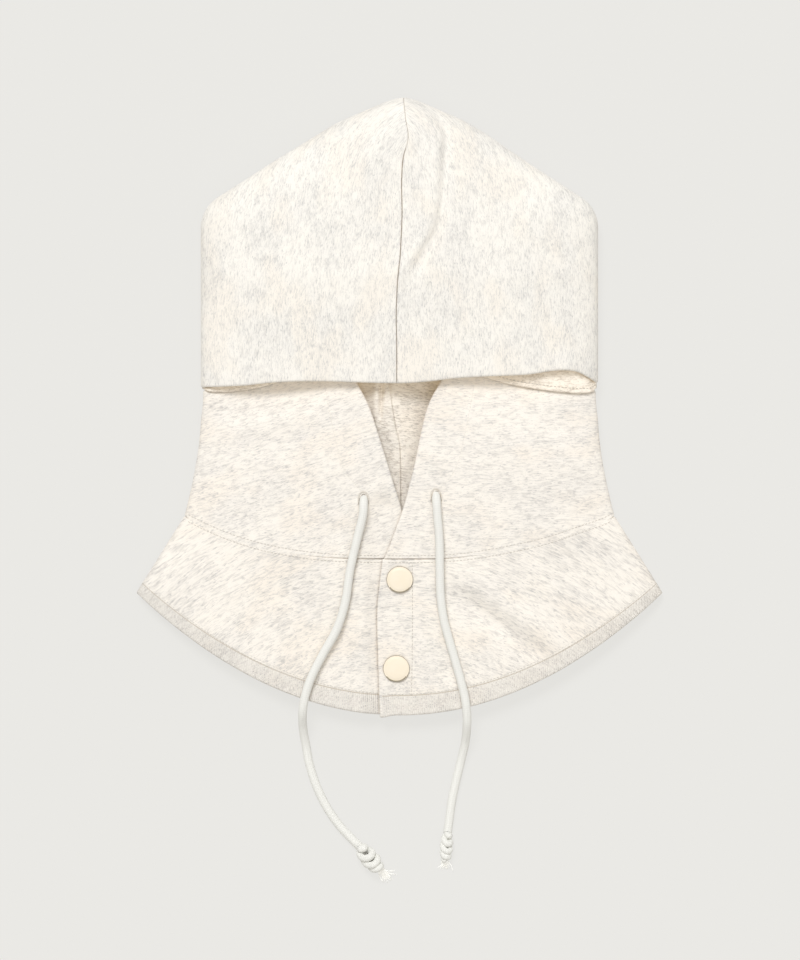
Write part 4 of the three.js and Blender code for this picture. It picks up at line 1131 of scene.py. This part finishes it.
def stitches(name, runs, finish, pitch=2.5, length=1.75, width=0.5):
    """Rows of stitches: each one is a spindle laid along its run, half sunk in the cloth. A run is a
    curve of points in the cloth's face."""
    spin = np.linspace(0, 2 * np.pi, 5, endpoint=False)
    t = np.array([-1, -0.8, 0, 0.8, 1.0])
    fat = np.array([0.25, 0.8, 1.0, 0.8, 0.25])
    points, faces = [], []
    for run in runs:
        run = np.asarray(run, float)
        along = run_along(run)
        at = np.arange(pitch / 2, along[-1], pitch)
        if len(at) < 2:
            continue
        centre = np.column_stack([np.interp(at, along, run[:, k]) for k in range(3)])
        d = unit(np.gradient(centre, axis=0))
        side = unit(np.cross(d, [0, 0, 1.0]))
        up = np.cross(side, d)
        cos, sin = np.cos(spin)[None, None, :, None], np.sin(spin)[None, None, :, None]
        round_it = cos * side[:, None, None] + sin * up[:, None, None]
        ring = (centre[:, None, None] + d[:, None, None] * (t * length / 2)[None, :, None, None]
                + fat[None, :, None, None] * width / 2 * round_it)
        for stitch in ring:
            faces += ring_faces(len(t), len(spin), first=len(points) * len(t) * len(spin))
            points.append(stitch.reshape(-1, 3))
    return outward(make_mesh(name, np.concatenate(points), faces, finishes=(finish,)))


def on_front(x, y, side, lift=0.05):
    """Points on a front's face, a lift above it."""
    x, y = np.broadcast_arrays(np.asarray(x, float), np.asarray(y, float))
    return np.column_stack([x, y, front_z(x, y, side) + lift])


left_runs, right_runs, tunnel_runs = [], [], []
for side, runs in ((-1, left_runs), (1, right_runs)):
    x = np.linspace(-13.5 if side < 0 else -8.5, side * 147.5, 300)
    for off in (2.4, -2.4):
        runs.append(on_front(x, neck_seam_y(x) + off, side))
    x = np.linspace(-14.5, -176, 320) if side < 0 else np.linspace(-11.5, 176, 330)
    foot = hem_y(x)
    for off in (HEM_BAND - 0.9, HEM_BAND + 0.9):
        runs.append(on_front(x, foot + off, side, -0.2))
    tunnel = [(26.5, -60), (38.9, -44.7), (44.5, -24.1), (48.4, -5.4), (52, 14)]
    line = curve_through([(side * x, y) for x, y in tunnel], 1.5)
    tunnel_runs.append(on_front(line[:, 0], line[:, 1], side))
placket = curve_through([(8.2, -213), (8.6, -190), (9.0, -160), (9.0, -130), (8.8, -110)], 1.5)
right_runs.append(on_front(placket[:, 0], placket[:, 1], 1))
corner = curve_through([(-9.3, -217.0), (-9.3, -204.2)], 1.0)
right_runs.append(on_front(corner[:, 0], corner[:, 1], 1, 0.1))
left_stitches = stitches("left_stitching", left_runs, thread)
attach(left_stitches, "root")
right_stitches = stitches("right_stitching", right_runs, thread)
peel(right_stitches)
tunnel_stitches = stitches("tunnel_stitching", tunnel_runs, pale_thread)
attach(tunnel_stitches, "root")

turn_line = curve_through([(x, y + 3.4) for x, y in RIGHT_TURN[1:]], 1.2)
z = front_z(turn_line[:, 0], np.minimum(turn_line[:, 1], RIM_Y + 6), 1) + 3.35
turn_run = np.column_stack([turn_line, np.minimum(z, NECK_TOP + 4.1)])
turn_stitches = stitches("rim_turn_stitching", [turn_run], thread, 2.6, 1.7, 0.5)
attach(turn_stitches, "root")


def buttonhole(name, x, y, side, tilt):
    """A worked buttonhole: close stitches set across an oval round the slit."""
    around = np.linspace(0, 2 * np.pi, 40, endpoint=False)
    c, s = math.cos(tilt), math.sin(tilt)
    ends = []
    for wide, tall in ((2.9, 5.0), (4.3, 6.4)):
        u, v = wide * np.cos(around), tall * np.sin(around)
        ends.append(on_front(u * c - v * s + x, u * s + v * c + y, side, 0.12))
    spin = np.linspace(0, 2 * np.pi, 6, endpoint=False)
    thickness = np.array([0.18, 0.3, 0.18])
    points, faces = [], []
    for start, end in zip(*ends):
        path = np.array([start, (start + end) / 2, end])
        faces += ring_faces(len(path), len(spin), first=len(points) * len(path) * len(spin))
        points.append(rings_round(path, thickness, spin).reshape(-1, 3))
    piece = outward(make_mesh(name, np.concatenate(points), faces, finishes=(pale_thread,)))
    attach(piece, "root")
    return piece


SLIT_ARCH = [(-3.7, -3.4), (-2.7, 0.6), (0.1, 3.9), (2.8, 0.4), (3.7, -3.4)]  # round the cord, over it
for name, x, y, side, tilt in (("left", -24.9, -66.2, -1, 0.1), ("right", 25.5, -64.2, 1, 0.12)):
    hole = buttonhole(f"{name}_buttonhole", x, y, side, tilt)
    arch = curve_through([(x + across, y + up) for across, up in SLIT_ARCH], 0.4)
    arch = on_front(arch[:, 0], arch[:, 1], side, 0.05)
    # Painted shadow: a dark arch over each cord stands in for the shade inside the slit.
    slit = outward(tube(f"{name}_slit_shadow_edge", arch, 0.26, slit_shadow_thread, 8))
    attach(slit, "root")
    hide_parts(f"{name}_buttonhole_patch")
